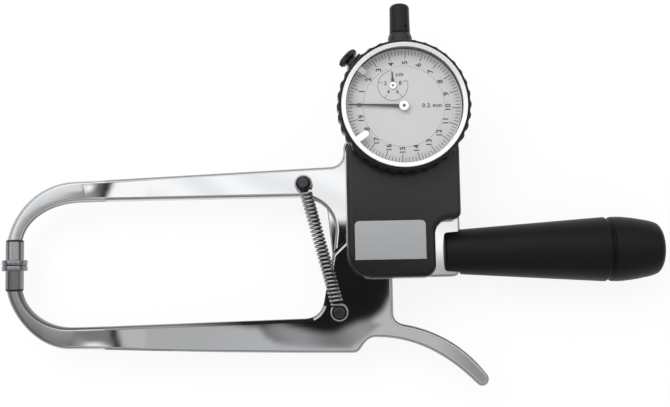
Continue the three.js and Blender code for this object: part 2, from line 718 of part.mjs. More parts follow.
function grip() {
  const body = alongX(turned([
    [0, GRIP_START], [GRIP_R0 - GRIP_ROUND, GRIP_START], [GRIP_R0 - 0.3, GRIP_START + 0.4],
    [GRIP_R0, GRIP_START + GRIP_ROUND], [GRIP_R1, GRIP_END - GRIP_ROUND],
    [GRIP_R1 - 1.4, GRIP_END], [0, GRIP_END],
  ], 24));
  const half = TANG_WIDE / 2 + GAP;
  const back = FRAME_BACK - GAP;
  const front = FRAME_TOP + GAP;
  const slot = box(GRIP_START - 1, PLATE_RIGHT + GAP, -20, 20, back, front);
  const socket = box(PLATE_RIGHT - 1, TANG_END + GAP, -half, half, back, front);
  const boltHole = alongX(rod(BOLT_R + GAP, TANG_END, GRIP_END + 1, 16));
  return cut(body, slot, socket, boltHole).translate(0, HANDLE_Y, 0);
}

function endCap() {
  const x = CAP_START;
  return alongX(turned([
    [BOLT_HEAD_R + GAP, x], [CAP_R - 1.4, x], [CAP_R, x + GRIP_ROUND], [CAP_R + 0.1, x + 5],
    [CAP_R - 0.5, x + 11], [CAP_R - 1.9, x + 18.5], [CAP_R - 3.2, x + 22], [CAP_R - 5.4, x + 23.9],
    [CAP_R - 9, x + CAP_LONG - 0.2], [0, x + CAP_LONG], [0, x + BOLT_HEAD + 2 * GAP],
    [BOLT_HEAD_R + GAP, x + BOLT_HEAD + 2 * GAP], [BOLT_HEAD_R + GAP, x],
  ], 24)).translate(0, HANDLE_Y, 0);
}

function handleBolt() {
  const x = CAP_START;
  return alongX(turned([
    [0, TANG_END - 12], [BOLT_R, TANG_END - 12], [BOLT_R, x], [BOLT_HEAD_R, x],
    [BOLT_HEAD_R, x + BOLT_HEAD], [0, x + BOLT_HEAD],
  ], 16)).translate(0, HANDLE_Y, 0);
}

add('handle_grip', grip(), colours.blackPlastic);
add('handle_cap', endCap(), colours.blackPlastic);
add('handle_bolt', handleBolt(), colours.darkSteel);

// Gauge drive: a finger on the hub carries a hardened roller that lifts the plunger.
// The roller starts as far below the hinge's level as it ends above it, so its lift is even.
const FINGER_REACH = (2 * DIAL.x) / (1 + Math.cos(OPENING / 2));
const ROLLER = turn(V(FINGER_REACH, 0), -OPENING / 2);
const TRAVEL = -2 * ROLLER.y;
const FINGER_BACK = BASE_TOP + SWEEP;
const FINGER_PIN_R = 1;
const ROLLER_BACK = BOSS_TOP + GAP;
const ROLLER_FRONT = 2 * STEM_Z - ROLLER_BACK;

function driveFinger() {
  const arm = new THREE.Shape();
  arm.absarc(0, 0, FINGER_ROOT_R, Math.PI / 2, (3 * Math.PI) / 2, false);
  arm.absarc(FINGER_REACH, 0, FINGER_TIP_R, -Math.PI / 2, Math.PI / 2, false);
  const bar = plate(arm, FINGER_BACK, BOSS_TOP, 0, 1, 5).rotateZ(-OPENING / 2);
  return cut(
    join(rod(FINGER_BOSS_R, FRAME_TOP + GAP, BOSS_TOP, 20), bar),
    rod(PIN_R + GAP, 0, 20, 16),
    bore(FINGER_PIN_R + GAP, ROLLER.x, ROLLER.y, 0, 20, 12),
  );
}

const lift = (geometry) => geometry.translate(ROLLER.x, ROLLER.y, 0);
add('drive_finger', driveFinger(), colours.darkSteel);
add('finger_pin', lift(rod(FINGER_PIN_R, FINGER_BACK, ROLLER_FRONT + GAP, 10)), colours.darkSteel);
add('finger_roller', lift(ring(FINGER_PIN_R + GAP, ROLLER_R, ROLLER_BACK, ROLLER_FRONT, 14)),
  colours.jawSteel);

// Plunger with its rack and contact point, and the gears between it and the two hands
const TIP_LOW = ROLLER.y + ROLLER_R + GAP;
const TIP_LONG = 2.6;
const RACK_PINION_R = TRAVEL / ((2 * Math.PI * TURNS * PINION_TEETH) / RACK_GEAR_TEETH);
const GEAR_MODULE = (2 * COUNTER.length()) / (PINION_TEETH + COUNTER_TEETH);
const RACK_MODULE = (2 * RACK_PINION_R) / PINION_TEETH;
const RACK_PITCH_X = -1.5; // pitch line of the rack, from the plunger's axis
const rackX = RACK_PITCH_X - RACK_PINION_R;
const gearReach = (GEAR_MODULE * (PINION_TEETH + RACK_GEAR_TEETH)) / 2;
const RACK_ARBOR = V(rackX, -Math.sqrt(gearReach ** 2 - rackX ** 2));
const ARBOR_R = 0.6;
const MOVEMENT_BACK = 16.6;
const MOVEMENT_THICK = 1;
const GEAR_BACK = 14.2;
const GEAR_THICK = 0.8;
const DIAL_BACK = DIAL_FACE - DIAL_THICK;
const POINTER_THICK = 0.3;
const COUNTER_HAND_BACK = DIAL_FACE + 0.35;
const POINTER_BACK = COUNTER_HAND_BACK + POINTER_THICK + 0.35;
const POINTER_TURN = THREE.MathUtils.degToRad(177.3);
const POINTER_REACH = DIAL_R - 1.4;
const COUNTER_TURN = THREE.MathUtils.degToRad(92.4);

// Outline of a gear or pinion with pointed teeth, one of them at the angle given
function gearShape(teeth, module, phase) {
  const pitch = (2 * Math.PI) / teeth;
  const r = (teeth * module) / 2;
  const points = [];
  for (let i = 0; i < teeth; i += 1) {
    const tooth = phase + i * pitch;
    points.push(turn(V(r + TOOTH_TIP * module, 0), tooth));
    points.push(turn(V(r - TOOTH_ROOT * module, 0), tooth + pitch / 2));
  }
  return new THREE.Shape(points);
}

function plunger() {
  const start = TIP_LOW + TIP_LONG + GAP;
  const shaft = alongY(rod(PLUNGER_R, start - DIAL.y, PLUNGER_TOP - DIAL.y, 14));
  const pitch = Math.PI * RACK_MODULE;
  const tip = RACK_PITCH_X - TOOTH_TIP * RACK_MODULE;
  const root = RACK_PITCH_X + TOOTH_ROOT * RACK_MODULE;
  const half = 1.3;
  const count = Math.ceil(TRAVEL / pitch) + 4;
  const low = RACK_ARBOR.y - (Math.ceil(TRAVEL / pitch) + 0.5) * pitch;
  const flat = box(-PLUNGER_R - 1, root, low - pitch, low + count * pitch, -3, 3);
  const shape = new THREE.Shape();
  shape.moveTo(root + 0.3, low - pitch / 2);
  for (let i = 0; i < count; i += 1) {
    const y = low + i * pitch;
    shape.lineTo(root, y - 0.25 * pitch);
    shape.lineTo(tip, y - 0.11 * pitch);
    shape.lineTo(tip, y + 0.11 * pitch);
    shape.lineTo(root, y + 0.25 * pitch);
  }
  shape.lineTo(root + 0.3, low + (count - 0.5) * pitch);
  const body = join(cut(shaft, flat), plate(shape, -half, half));
  return body.translate(DIAL.x, DIAL.y, STEM_Z);
}

const atDial = (geometry, by = V(0, 0)) => geometry.translate(DIAL.x + by.x, DIAL.y + by.y, 0);
const atStem = (geometry) => alongY(geometry).translate(DIAL.x, 0, STEM_Z);

function rackArbor() {
  const toCentre = Math.atan2(-RACK_ARBOR.y, -RACK_ARBOR.x);
  return atDial(join(
    rod(ARBOR_R, CASE_BACK + BACK_THICK + GAP, MOVEMENT_BACK + MOVEMENT_THICK + GAP, 12),
    plate(gearShape(PINION_TEETH, RACK_MODULE, 0), STEM_Z - 1.5, STEM_Z + 1.5),
    plate(gearShape(RACK_GEAR_TEETH, GEAR_MODULE, toCentre), GEAR_BACK, GEAR_BACK + GEAR_THICK),
  ), RACK_ARBOR);
}

function centreArbor() {
  const fromRack = Math.atan2(RACK_ARBOR.y, RACK_ARBOR.x);
  const phase = fromRack + Math.PI / PINION_TEETH;
  return atDial(join(
    rod(ARBOR_R, GEAR_BACK - 0.8, POINTER_BACK + POINTER_THICK, 12),
    plate(gearShape(PINION_TEETH, GEAR_MODULE, phase), GEAR_BACK - 0.4, GEAR_BACK + 1.4),
  ));
}

function counterArbor() {
  const fromRack = Math.atan2(RACK_ARBOR.y, RACK_ARBOR.x);
  const pinionPitch = (2 * Math.PI) / PINION_TEETH;
  const pinionPhase = fromRack + pinionPitch / 2;
  const away = Math.atan2(COUNTER.y, COUNTER.x);
  const offset = (away - pinionPhase) / pinionPitch;
  const part = offset - Math.floor(offset);
  const phase = away + Math.PI + (0.5 + part) * ((2 * Math.PI) / COUNTER_TEETH);
  return atDial(join(
    rod(ARBOR_R, GEAR_BACK - 0.8, COUNTER_HAND_BACK + POINTER_THICK, 12),
    plate(gearShape(COUNTER_TEETH, GEAR_MODULE, phase), GEAR_BACK, GEAR_BACK + GEAR_THICK),
  ), COUNTER);
}

function hand(reach, wide, narrow, tail, hubR, back, angle) {
  const shape = new THREE.Shape([
    V(-tail, -wide / 2), V(0, -wide / 2), V(reach, -narrow / 2), V(reach, narrow / 2), V(0, wide / 2),
    V(-tail, wide / 2),
  ]);
  const blade = plate(shape, back, back + POINTER_THICK);
  const hub = rod(hubR, back, back + POINTER_THICK, 14);
  return cut(join(blade, hub), rod(ARBOR_R + GAP / 2, back - 1, back + 1, 12)).rotateZ(angle);
}

add('contact_point', atStem(turned([
  [0, TIP_LOW], [TIP_R - 0.3, TIP_LOW], [TIP_R, TIP_LOW + 0.3], [TIP_R, TIP_LOW + 1.4],
  [PLUNGER_R - 0.5, TIP_LOW + TIP_LONG], [0, TIP_LOW + TIP_LONG],
], 14)), colours.jawSteel);
add('plunger', plunger(), colours.jawSteel);
add('rack_arbor', rackArbor(), colours.brass);
add('centre_arbor', centreArbor(), colours.brass);
add('counter_arbor', counterArbor(), colours.brass);
add('main_pointer', atDial(hand(POINTER_REACH, 1.3, 0.45, 1.4, 1.6, POINTER_BACK, POINTER_TURN)),
  colours.pointer);
add('pointer_cap', atDial(rod(2, POINTER_BACK + POINTER_THICK + 0.15, GLASS_BACK - 0.45, 14, 0.2)),
  colours.dial);
add('counter_hand', atDial(hand(5.8, 1.1, 0.5, 1.3, 1.6, COUNTER_HAND_BACK, COUNTER_TURN), COUNTER),
  colours.pointer);

// Gauge case: a tube with a back, its stem held by a block, and the collar and cap on top
const BACK_TOP = CASE_BACK + BACK_THICK;
const CASE_FOOT = BACK_TOP + GAP;
const BORE_R = PLUNGER_R + RUN;
const ROUND = 36; // segments of the gauge's large circles, so that they follow the scallops
const HIDDEN_ROUND = 28;
const toClamp = (geometry) => atDial(geometry.rotateZ(CLAMP_ANGLE));

function gaugeCase() {
  const inner = CASE_R - CASE_WALL;
  const tube = turned([
    [inner, CASE_FOOT], [CASE_R, CASE_FOOT], [CASE_R, CASE_FRONT], [LIP_R, CASE_FRONT],
    [LIP_R, LIP_FRONT], [inner, LIP_FRONT], [inner, CASE_FOOT],
  ], HIDDEN_ROUND);
  const stemHole = alongY(rod(STEM_R + GAP, -CASE_R - 2, CASE_R + 2, 16)).translate(0, 0, STEM_Z);
  const clampHole = alongX(rod(CLAMP_R + GAP, inner - 3, CASE_R + 2, 12)).translate(0, 0, CLAMP_Z);
  return atDial(cut(tube, stemHole, clampHole.rotateZ(CLAMP_ANGLE)));
}

function stemClamp() {
  const [low, high, half] = [14, 21, 7];
  const block = box(DIAL.x - half, DIAL.x + half, low, high, BASE_TOP + GAP, STEM_Z + STEM_R);
  return cut(block, atStem(rod(STEM_R + GAP, low - 1, high + 1, 20)));
}

function dustCap() {
  const start = COLLAR_END + GAP;
  const end = start + DUST_CAP_LONG;
  const room = PLUNGER_R + 2 * RUN;
  const roof = end - DUST_CAP_ROOF;
  const waist = DUST_CAP_R - 0.4;
  return atStem(turned([
    [room, start], [DUST_CAP_R, start], [DUST_CAP_R, start + 1.4], [waist, start + 2],
    [waist, start + 7.5], [DUST_CAP_R + 0.1, end - 2.6], [waist, end - 1],
    [DUST_CAP_R - 1.6, end], [0, end], [0, roof], [room, roof], [room, start],
  ], 16));
}

add('gauge_back', atDial(rod(CASE_R, CASE_BACK, BACK_TOP, HIDDEN_ROUND)), colours.alloy);
add('gauge_case', gaugeCase(), colours.alloy);
add('gauge_stem', atStem(ring(BORE_R, STEM_R, STEM_END, DIAL.y - CASE_R + NECK_LONG, 16)), colours.jawSteel);
add('stem_clamp', stemClamp(), colours.alloy);
add('cap_collar', atStem(turned([
  [BORE_R, DIAL.y + CASE_R - NECK_LONG], [STEM_R, DIAL.y + CASE_R - NECK_LONG], [STEM_R, COLLAR_START],
  [COLLAR_R, COLLAR_START], [COLLAR_R, COLLAR_END], [BORE_R, COLLAR_END],
  [BORE_R, DIAL.y + CASE_R - NECK_LONG],
], 16)), colours.jawSteel);
add('dust_cap', dustCap(), colours.jawSteel);

// Movement plate on three pillars, and the fixed middle of the dial on three feet
function movementPlate() {
  const plateTop = MOVEMENT_BACK + MOVEMENT_THICK;
  const pillars = [V(14, 12), V(14, -12), V(-18.5, 0)];
  const holes = [V(0, 0), COUNTER, RACK_ARBOR];
  return atDial(cut(
    join(
      rod(CASE_R - CASE_WALL - RUN, MOVEMENT_BACK, plateTop, HIDDEN_ROUND),
      ...pillars.map((p) => bore(1.4, p.x, p.y, CASE_FOOT, MOVEMENT_BACK + 0.5, 8)),
    ),
    ...holes.map((p) => bore(ARBOR_R + RUN, p.x, p.y, MOVEMENT_BACK - 1, plateTop + 1, 12)),
  ));
}

function dialDisc() {
  const feet = [30, 150, 270].map((angle) => turn(V(13, 0), THREE.MathUtils.degToRad(angle)));
  const start = MOVEMENT_BACK + MOVEMENT_THICK + GAP;
  return atDial(cut(
    join(
      rod(DISC_R, DIAL_BACK, DIAL_FACE, ROUND),
      ...feet.map((p) => bore(1, p.x, p.y, start, DIAL_BACK + 0.4, 8)),
    ),
    ...[V(0, 0), COUNTER].map((p) => bore(ARBOR_R + RUN, p.x, p.y, DIAL_BACK - 1, DIAL_FACE + 1, 12)),
  ));
}

add('movement_plate', movementPlate(), colours.brass);
add('dial_disc', dialDisc(), colours.dial);

// Bezel: a scalloped ring that turns on the case with the dial ring, glass and trim ring
const FLANGE_BACK = LIP_FRONT + GAP;
const FLANGE_TOP = DIAL_BACK - GAP;
const GLASS_SEAT = GLASS_BACK - GAP;
const GLASS_FRONT = GLASS_BACK + GLASS_THICK;
const BAND_BACK = BEZEL_FRONT - BAND_HIGH;
const BAND_R = BEZEL_R - SCALLOP_DEEP;

function bezel() {
  const step = (2 * Math.PI) / SCALLOPS;
  const points = [];
  for (let i = 0; i < SCALLOPS; i += 1) {
    points.push(turn(V(BEZEL_R, 0), i * step), turn(V(BEZEL_R - SCALLOP_DEEP, 0), (i + 0.5) * step));
  }
  const grip = plate(new THREE.Shape(points), BEZEL_BACK, BAND_BACK);
  const band = turned([
    [0, BAND_BACK - 2], [BAND_R - 0.4, BAND_BACK - 2], [BAND_R, BAND_BACK],
    [BAND_R, BEZEL_FRONT - 0.5], [BAND_R - 0.5, BEZEL_FRONT], [0, BEZEL_FRONT],
  ], ROUND);
  const [lip, dial, glass] = [LIP_R, DIAL_R, GLASS_R].map((r) => r + BEZEL_PLAY);
  const ledge = DIAL_R - 1.2;
  const room = turned([
    [0, BEZEL_BACK - 1], [lip, BEZEL_BACK - 1], [lip, FLANGE_BACK],
    [ledge, FLANGE_BACK], [ledge, FLANGE_TOP], [dial, FLANGE_TOP],
    [dial, GLASS_SEAT], [glass, GLASS_SEAT], [glass, BEZEL_FRONT + 1],
    [0, BEZEL_FRONT + 1],
  ], ROUND);
  return atDial(cut(join(grip, band), room));
}

function trimRing() {
  const rim = TRIM_R - BEZEL_PLAY;
  return atDial(turned([
    [TRIM_INNER_R, TRIM_FRONT - TRIM_FLANGE], [rim, TRIM_FRONT - TRIM_FLANGE],
    [rim, GLASS_FRONT + GAP], [TRIM_R, GLASS_FRONT + GAP], [TRIM_R, TRIM_FRONT],
    [TRIM_INNER_R, TRIM_FRONT],
    [TRIM_INNER_R, TRIM_FRONT - TRIM_FLANGE],
  ], ROUND));
}

// A limit marker: a tab under the trim ring that points at the dial
function marker(angle) {
  const [tip, end, half] = [DIAL_R - MARKER_DEEP, TRIM_R - 0.7, 1.3];
  const shape = new THREE.Shape([
    V(tip, -half * 0.35), V(tip + 1.6, -half), V(end, -half), V(end, half), V(tip + 1.6, half),
    V(tip, half * 0.35),
  ]);
  const back = GLASS_FRONT + GAP;
  const tab = plate(shape, back, back + MARKER_THICK);
  return atDial(tab.rotateZ(THREE.MathUtils.degToRad(angle)));
}

add('bezel', bezel(), colours.blackPlastic);
add('dial_ring', atDial(ring(DISC_R + GAP, DIAL_R, DIAL_BACK, DIAL_FACE, ROUND)), colours.dial);
add('glass', atDial(rod(GLASS_R, GLASS_BACK, GLASS_FRONT, ROUND)), colours.glass);
add('trim_ring', trimRing(), colours.steel);
add('marker_low', marker(216), colours.alloy);
add('marker_high', marker(140), colours.alloy);

// Bezel clamp: a shoe beside the case, drawn onto the bezel by a knurled screw
const SHOE_START = CASE_R + GAP;
const SHOE_END = BEZEL_R + SHOE_WALL;

function clampShoe() {
  const half = SHOE_WIDE / 2;
  const block = join(
    box(SHOE_START, SHOE_END, -half, half, SHOE_BACK, BEZEL_BACK - 0.4),
    box(BEZEL_R + 0.4, SHOE_END, -half, half, SHOE_STEP, BEZEL_BACK + SHOE_PROUD),
  );
  const hole = alongX(rod(CLAMP_R + GAP, SHOE_START - 1, SHOE_END + 1, 12)).translate(0, 0, CLAMP_Z);
  return toClamp(cut(block, hole));
}

function clampScrew() {
  const tip = CASE_R - CASE_WALL + 0.6;
  const neck = SHOE_END + GAP;
  const head = neck + CLAMP_NECK;
  const end = head + CLAMP_HEAD;
  const [r, edge] = [CLAMP_HEAD_R, CLAMP_HEAD_R - CLAMP_EDGE];
  return toClamp(alongX(turned([
    [0, tip], [CLAMP_R, tip], [CLAMP_R, neck], [CLAMP_NECK_R, neck], [CLAMP_NECK_R, head],
    [edge, head], [r, head + CLAMP_EDGE], [r, end - CLAMP_EDGE], [edge, end], [0, end],
  ], 16)).translate(0, 0, CLAMP_Z));
}

add('bezel_clamp_shoe', clampShoe(), colours.blackPaint);
add('bezel_clamp_screw', clampScrew(), colours.jawSteel);

const MOUNT_INSET = 10; // from the top edge of the frame plate down to the origin
caliper.position.set(-(PLATE_LEFT + PLATE_RIGHT) / 2, MOUNT_INSET - PLATE_TOP, -FRAME_BACK);
export default caliper;
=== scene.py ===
"""Dressed model of a skinfold caliper with a dial gauge, lying flat on its back on a white table."""
import json
import math
import bmesh
import bpy
from mathutils import Matrix, Vector


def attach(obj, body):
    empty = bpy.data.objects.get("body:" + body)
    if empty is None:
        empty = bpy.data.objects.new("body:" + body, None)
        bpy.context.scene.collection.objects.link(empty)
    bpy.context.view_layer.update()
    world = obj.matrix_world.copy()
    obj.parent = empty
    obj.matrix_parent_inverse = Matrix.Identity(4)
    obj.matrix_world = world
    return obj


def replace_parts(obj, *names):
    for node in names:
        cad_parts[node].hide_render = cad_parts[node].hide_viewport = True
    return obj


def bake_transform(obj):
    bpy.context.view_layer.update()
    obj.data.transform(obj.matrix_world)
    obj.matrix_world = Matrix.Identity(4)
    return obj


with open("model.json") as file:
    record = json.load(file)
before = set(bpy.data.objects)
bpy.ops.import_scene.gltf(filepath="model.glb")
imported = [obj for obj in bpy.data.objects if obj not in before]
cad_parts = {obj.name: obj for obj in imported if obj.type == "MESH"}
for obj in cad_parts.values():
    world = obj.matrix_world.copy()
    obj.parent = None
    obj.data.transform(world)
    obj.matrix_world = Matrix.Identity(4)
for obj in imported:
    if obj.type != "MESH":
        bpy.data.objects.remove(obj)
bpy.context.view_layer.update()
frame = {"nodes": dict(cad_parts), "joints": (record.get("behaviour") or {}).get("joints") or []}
node = frame["nodes"]
joint = {j["name"]: j for j in frame["joints"]}

# Arms: two pieces of thick spring steel, ground flat, rounded along their edges and polished to
# a mirror. They lap each other at the hinge, each at half its thickness, so that both lie in one
# plane. Sizes are millimetres from the hinge.
HINGE = Vector(joint["jaw_open"]["pos_m"])
OPENING = math.radians(joint["jaw_open"]["range_deg"][1])
JAW = Vector((-158.9, -8.15))  # where the closed jaws meet
BARREL_LONG = 11.3
ARM_HALF = 4.0  # half of an arm's thickness
ARM_ROUND = 1.5
LAP_GAP = 0.15
STEP_R = 20.8  # the round step where the arms lap
HUB_R = 8.07
SWEEP = 0.6  # room round what swings


def colour(hex_code):
    """An sRGB hex colour as the linear RGBA that the shaders take."""
    def linear(c):
        return c / 12.92 if c <= 0.04045 else ((c + 0.055) / 1.055) ** 2.4
    parts = [int(hex_code[i:i + 2], 16) / 255 for i in (1, 3, 5)]
    return (*[linear(c) for c in parts], 1.0)


def add_node(material, kind, settings=None, links=None):
    """Adds a shader node: settings go to its properties or inputs, links name the outputs it reads."""
    made = material.node_tree.nodes.new(kind)
    for key, value in (settings or {}).items():
        if isinstance(key, str) and hasattr(made, key) and key not in made.inputs:
            setattr(made, key, value)
        else:
            made.inputs[key].default_value = value
    for key, output in (links or {}).items():
        material.node_tree.links.new(output, made.inputs[key])
    return made


def new_material(name, base, metallic, roughness, gloss=0.5):
    """A Principled material with plain values set on the shader's own sockets, and that shader."""
    material = bpy.data.materials.new(name)
    material.use_nodes = True
    shader = material.node_tree.nodes["Principled BSDF"]
    shader.inputs["Base Color"].default_value = colour(base)
    shader.inputs["Metallic"].default_value = metallic
    shader.inputs["Roughness"].default_value = roughness
    shader.inputs["Specular IOR Level"].default_value = gloss
    return material, shader


def fade(material, socket, axis, start, end, low, high):
    """Lets a socket's number or colour change from low to high between two places on an axis, in metres."""
    place = add_node(material, "ShaderNodeTexCoord")
    split = add_node(material, "ShaderNodeSeparateXYZ", links={0: place.outputs["Object"]})
    ramp = add_node(material, "ShaderNodeMapRange", {1: start, 2: end}, {0: split.outputs[axis]})
    if isinstance(low, str):
        settings, result = {"data_type": "RGBA", 6: colour(low), 7: colour(high)}, 2
    else:
        settings, result = {"data_type": "FLOAT", 2: low, 3: high}, 0
    mixed = add_node(material, "ShaderNodeMix", settings, {0: ramp.outputs[0]})
    material.node_tree.links.new(mixed.outputs[result], socket)


def as_mesh(shape, name):
    """Turns a bmesh into a mesh and frees it."""
    mesh = bpy.data.meshes.new(name)
    shape.to_mesh(mesh)
    shape.free()
    return mesh


def linked(name, data):
    """A new object in the scene."""
    made = bpy.data.objects.new(name, data)
    bpy.context.scene.collection.objects.link(made)
    return made


def evaluated(holder):
    """The mesh that a working object shows. The object itself is then removed."""
    bpy.context.view_layer.update()
    mesh = bpy.data.meshes.new_from_object(holder.evaluated_get(bpy.context.evaluated_depsgraph_get()))
    bpy.data.objects.remove(holder)
    return mesh


def keep_flats(mesh):
    """Shades the level faces truly flat, so that they mirror like lapped metal up to their edges."""
    flats = {}
    for face in mesh.polygons:
        if abs(face.normal.z) > 0.9999:
            for corner in face.vertices:
                flats.setdefault(corner, set()).add(round(face.normal.z))
    shading = [Vector(corner.vector) for corner in mesh.corner_normals]
    for loop in mesh.loops:
        for up in flats.get(loop.vertex_index, ()):
            if shading[loop.index].z * up > 0.7:
                shading[loop.index] = Vector((0, 0, up))
    mesh.normals_split_custom_set(shading)


def finish_piece(mesh, name, material, sharp=35, level=True):
    """Makes the object at the origin from a mesh in millimetres about the hinge, smooth-shaded."""
    mesh.transform(Matrix.Translation(HINGE) @ Matrix.Scale(0.001, 4))
    mesh.shade_smooth()
    mesh.set_sharp_from_angle(angle=math.radians(sharp))
    if level:
        keep_flats(mesh)
    mesh.materials.clear()
    mesh.materials.append(material)
    return linked(name, mesh)


def curve_plate(parts, low, high, rounding):
    """A flat curve pushed from low to high with rounded edges, as a mesh in millimetres.

    parts is a list of points: (x, y) goes straight there, and (handle, handle, (x, y)) curves there.
    """
    curve = bpy.data.curves.new("outline", "CURVE")
    curve.dimensions = "2D"
    curve.fill_mode = "BOTH"
    curve.resolution_u = 14
    curve.extrude = (high - low) / 2 - rounding
    curve.bevel_depth = rounding
    curve.bevel_resolution = 5
    curve.offset = -rounding
    ends = [Vector(p[2] if isinstance(p[0], tuple) else p).to_3d() for p in parts]
    spline = curve.splines.new("BEZIER")
    spline.use_cyclic_u = True
    spline.bezier_points.add(len(parts) - 1)
    for i, part in enumerate(parts):
        point = spline.bezier_points[i]
        before = spline.bezier_points[i - 1]
        point.co = ends[i]
        before_co = ends[i - 1]
        point.handle_left_type = point.handle_right_type = "FREE"
        if isinstance(part[0], tuple):
            before.handle_right = Vector(part[0]).to_3d()
            point.handle_left = Vector(part[1]).to_3d()
        else:
            before.handle_right = before_co.lerp(ends[i], 1 / 3)
            point.handle_left = before_co.lerp(ends[i], 2 / 3)
    welded = bmesh.new()
    welded.from_mesh(evaluated(linked("outline", curve)))
    bmesh.ops.remove_doubles(welded, verts=welded.verts, dist=0.001)
    bmesh.ops.recalc_face_normals(welded, faces=welded.faces)
    bmesh.ops.translate(welded, verts=welded.verts, vec=(0, 0, (low + high) / 2))
    return as_mesh(welded, "plate")


def rounded(corner, before, after):
    """The curve part that rounds a corner, from the point before it to the point after it."""
    first = Vector(before).lerp(Vector(corner), 2 / 3)
    second = Vector(after).lerp(Vector(corner), 2 / 3)
    return (tuple(first), tuple(second), after)


def arc(r, start, end, centre=(0, 0)):
    """Curve parts along a circle about the hinge or another centre, angles in degrees."""
    count = max(1, math.ceil(abs(end - start) / 60))
    step = math.radians(end - start) / count
    reach = 4 / 3 * math.tan(step / 4) * r
    parts = []
    for i in range(count):
        a, b = math.radians(start) + i * step, math.radians(start) + (i + 1) * step
        p = Vector((centre[0] + r * math.cos(a), centre[1] + r * math.sin(a)))
        q = Vector((centre[0] + r * math.cos(b), centre[1] + r * math.sin(b)))
        h = p + reach * Vector((-math.sin(a), math.cos(a)))
        k = q - reach * Vector((-math.sin(b), math.cos(b)))
        parts.append((tuple(h), tuple(k), tuple(q)))
    return parts


def combined(mesh, others, operation):
    """A mesh with others cut from it or joined to it."""
    holder = linked("work", mesh)
    tools = [linked("tool", other) for other in others]
    for tool in tools:
        step = holder.modifiers.new("cut", "BOOLEAN")
        step.operation = operation
        step.solver = "EXACT"
        step.object = tool
    made = evaluated(holder)
    for tool in tools:
        bpy.data.objects.remove(tool)
    return made


def cylinder(r, low, high, centre=(0, 0), segments=96):
    """A closed cylinder along Z, in millimetres."""
    shape = bmesh.new()
    bmesh.ops.create_cone(shape, cap_ends=True, segments=segments, radius1=r, radius2=r, depth=high - low)
    bmesh.ops.translate(shape, verts=shape.verts, vec=(*centre, (low + high) / 2))
    return as_mesh(shape, "cylinder")


def block(low, high):
    """A closed box between two corners, in millimetres."""
    low, high = Vector(low), Vector(high)
    shape = bmesh.new()
    bmesh.ops.create_cube(shape, size=1)
    bmesh.ops.scale(shape, verts=shape.verts, vec=high - low)
    bmesh.ops.translate(shape, verts=shape.verts, vec=(low + high) / 2)
    return as_mesh(shape, "block")


PLATE_LEFT, PLATE_RIGHT = -12.3, 38.2
PLATE_LOW, PLATE_HIGH = -16.6, 44.0
open_side = Matrix.Rotation(OPENING, 2) @ Vector((HUB_R + SWEEP, 0))
foot_r = STEP_R - 0.3
foot_half = math.degrees(math.acos(-PLATE_LOW / foot_r))
arm_tip = JAW + Vector((0, BARREL_LONG))
on_foot = [tuple(foot_r * Vector((math.cos(math.radians(a)), math.sin(math.radians(a)))))
           for a in (-145, foot_half - 90)]
foot = [
    on_foot[0], *arc(foot_r, -145, -90 - foot_half), on_foot[1], *arc(foot_r, foot_half - 90, -35.5),
    (open_side.x + (open_side.y - PLATE_LOW) * math.tan(OPENING), PLATE_LOW),
    (PLATE_RIGHT - 4, PLATE_LOW),
    rounded((PLATE_RIGHT, PLATE_LOW), (PLATE_RIGHT - 4, PLATE_LOW), (PLATE_RIGHT, PLATE_LOW + 5)),
]
fixed_outline = [
    (arm_tip.x - 2, arm_tip.y), (arm_tip.x + 2, arm_tip.y),
    ((-155.6, 11), (-146.5, 19.7), (-130, 19.7)), (-33, 19.9),
    ((-24, 19.9), (-16.8, 14), (-16.5, 4.6)), (-17.6, -5), *foot,
    (PLATE_RIGHT, PLATE_HIGH - 3),
    rounded((PLATE_RIGHT, PLATE_HIGH), (PLATE_RIGHT, PLATE_HIGH - 3), (PLATE_RIGHT - 3, PLATE_HIGH)),
    (PLATE_LEFT + 3, PLATE_HIGH),
    rounded((PLATE_LEFT, PLATE_HIGH), (PLATE_LEFT + 3, PLATE_HIGH), (PLATE_LEFT, PLATE_HIGH - 3)),
    (PLATE_LEFT, 40), rounded((PLATE_LEFT, 33.1), (PLATE_LEFT, 40), (-18.5, 32.8)), (-133, 28.3),
    ((-148.5, 26.8), (-158.2, 15.5), (arm_tip.x - 2, arm_tip.y)),
]
cheek_outline = [
    (-26, 22), ((-21, 18.5), (-19.9, 15), (-19.7, 11)), (-18.1, -6.5), *foot, (PLATE_RIGHT, 22),
]
neck_low = Vector((-18.1, -5.9))
neck_axis = Vector((6.4, 6)).normalized()
shoulder = neck_low + SWEEP * Vector((-neck_axis.y, neck_axis.x)) - 20 * neck_axis
neck_angle = math.degrees(math.atan2(neck_axis.x, -neck_axis.y))
pocket_outline = [
    tuple(shoulder), (shoulder.x, -40),
    (open_side.x + (open_side.y + 40) * math.tan(OPENING), -40), tuple(open_side),
    *arc(HUB_R + SWEEP, math.degrees(OPENING), neck_angle),
]
lower_tip = JAW - Vector((0, BARREL_LONG))
moving_outline = [
    (lower_tip.x - 2, lower_tip.y), ((-157.9, -33), (-146, -44.2), (-134, -44.9)),
    rounded((-70, -48), (-134, -44.9), (-9.5, -48.9)), ((-5.5, -48.9), (-5.8, -42.3), (0.5, -42.3)),
    ((17, -42.6), (31, -50), (44.2, -63.4)), ((46.5, -65.8), (50.6, -62.6), (48.4, -59.4)),
    ((38, -45.5), (25, -39.5), (13, -37.2)), rounded((HUB_R, -36.2), (13, -37.2), (HUB_R, -32)),
    (HUB_R, 0), *arc(HUB_R, 0, neck_angle), tuple(neck_low), (-22, -26),
    rounded((-23.4, -33.8), (-22, -26), (-31, -33.9)), (-133.5, -36),
    ((-147.5, -36), (-155.4, -26.8), (lower_tip.x + 2, lower_tip.y)),
]

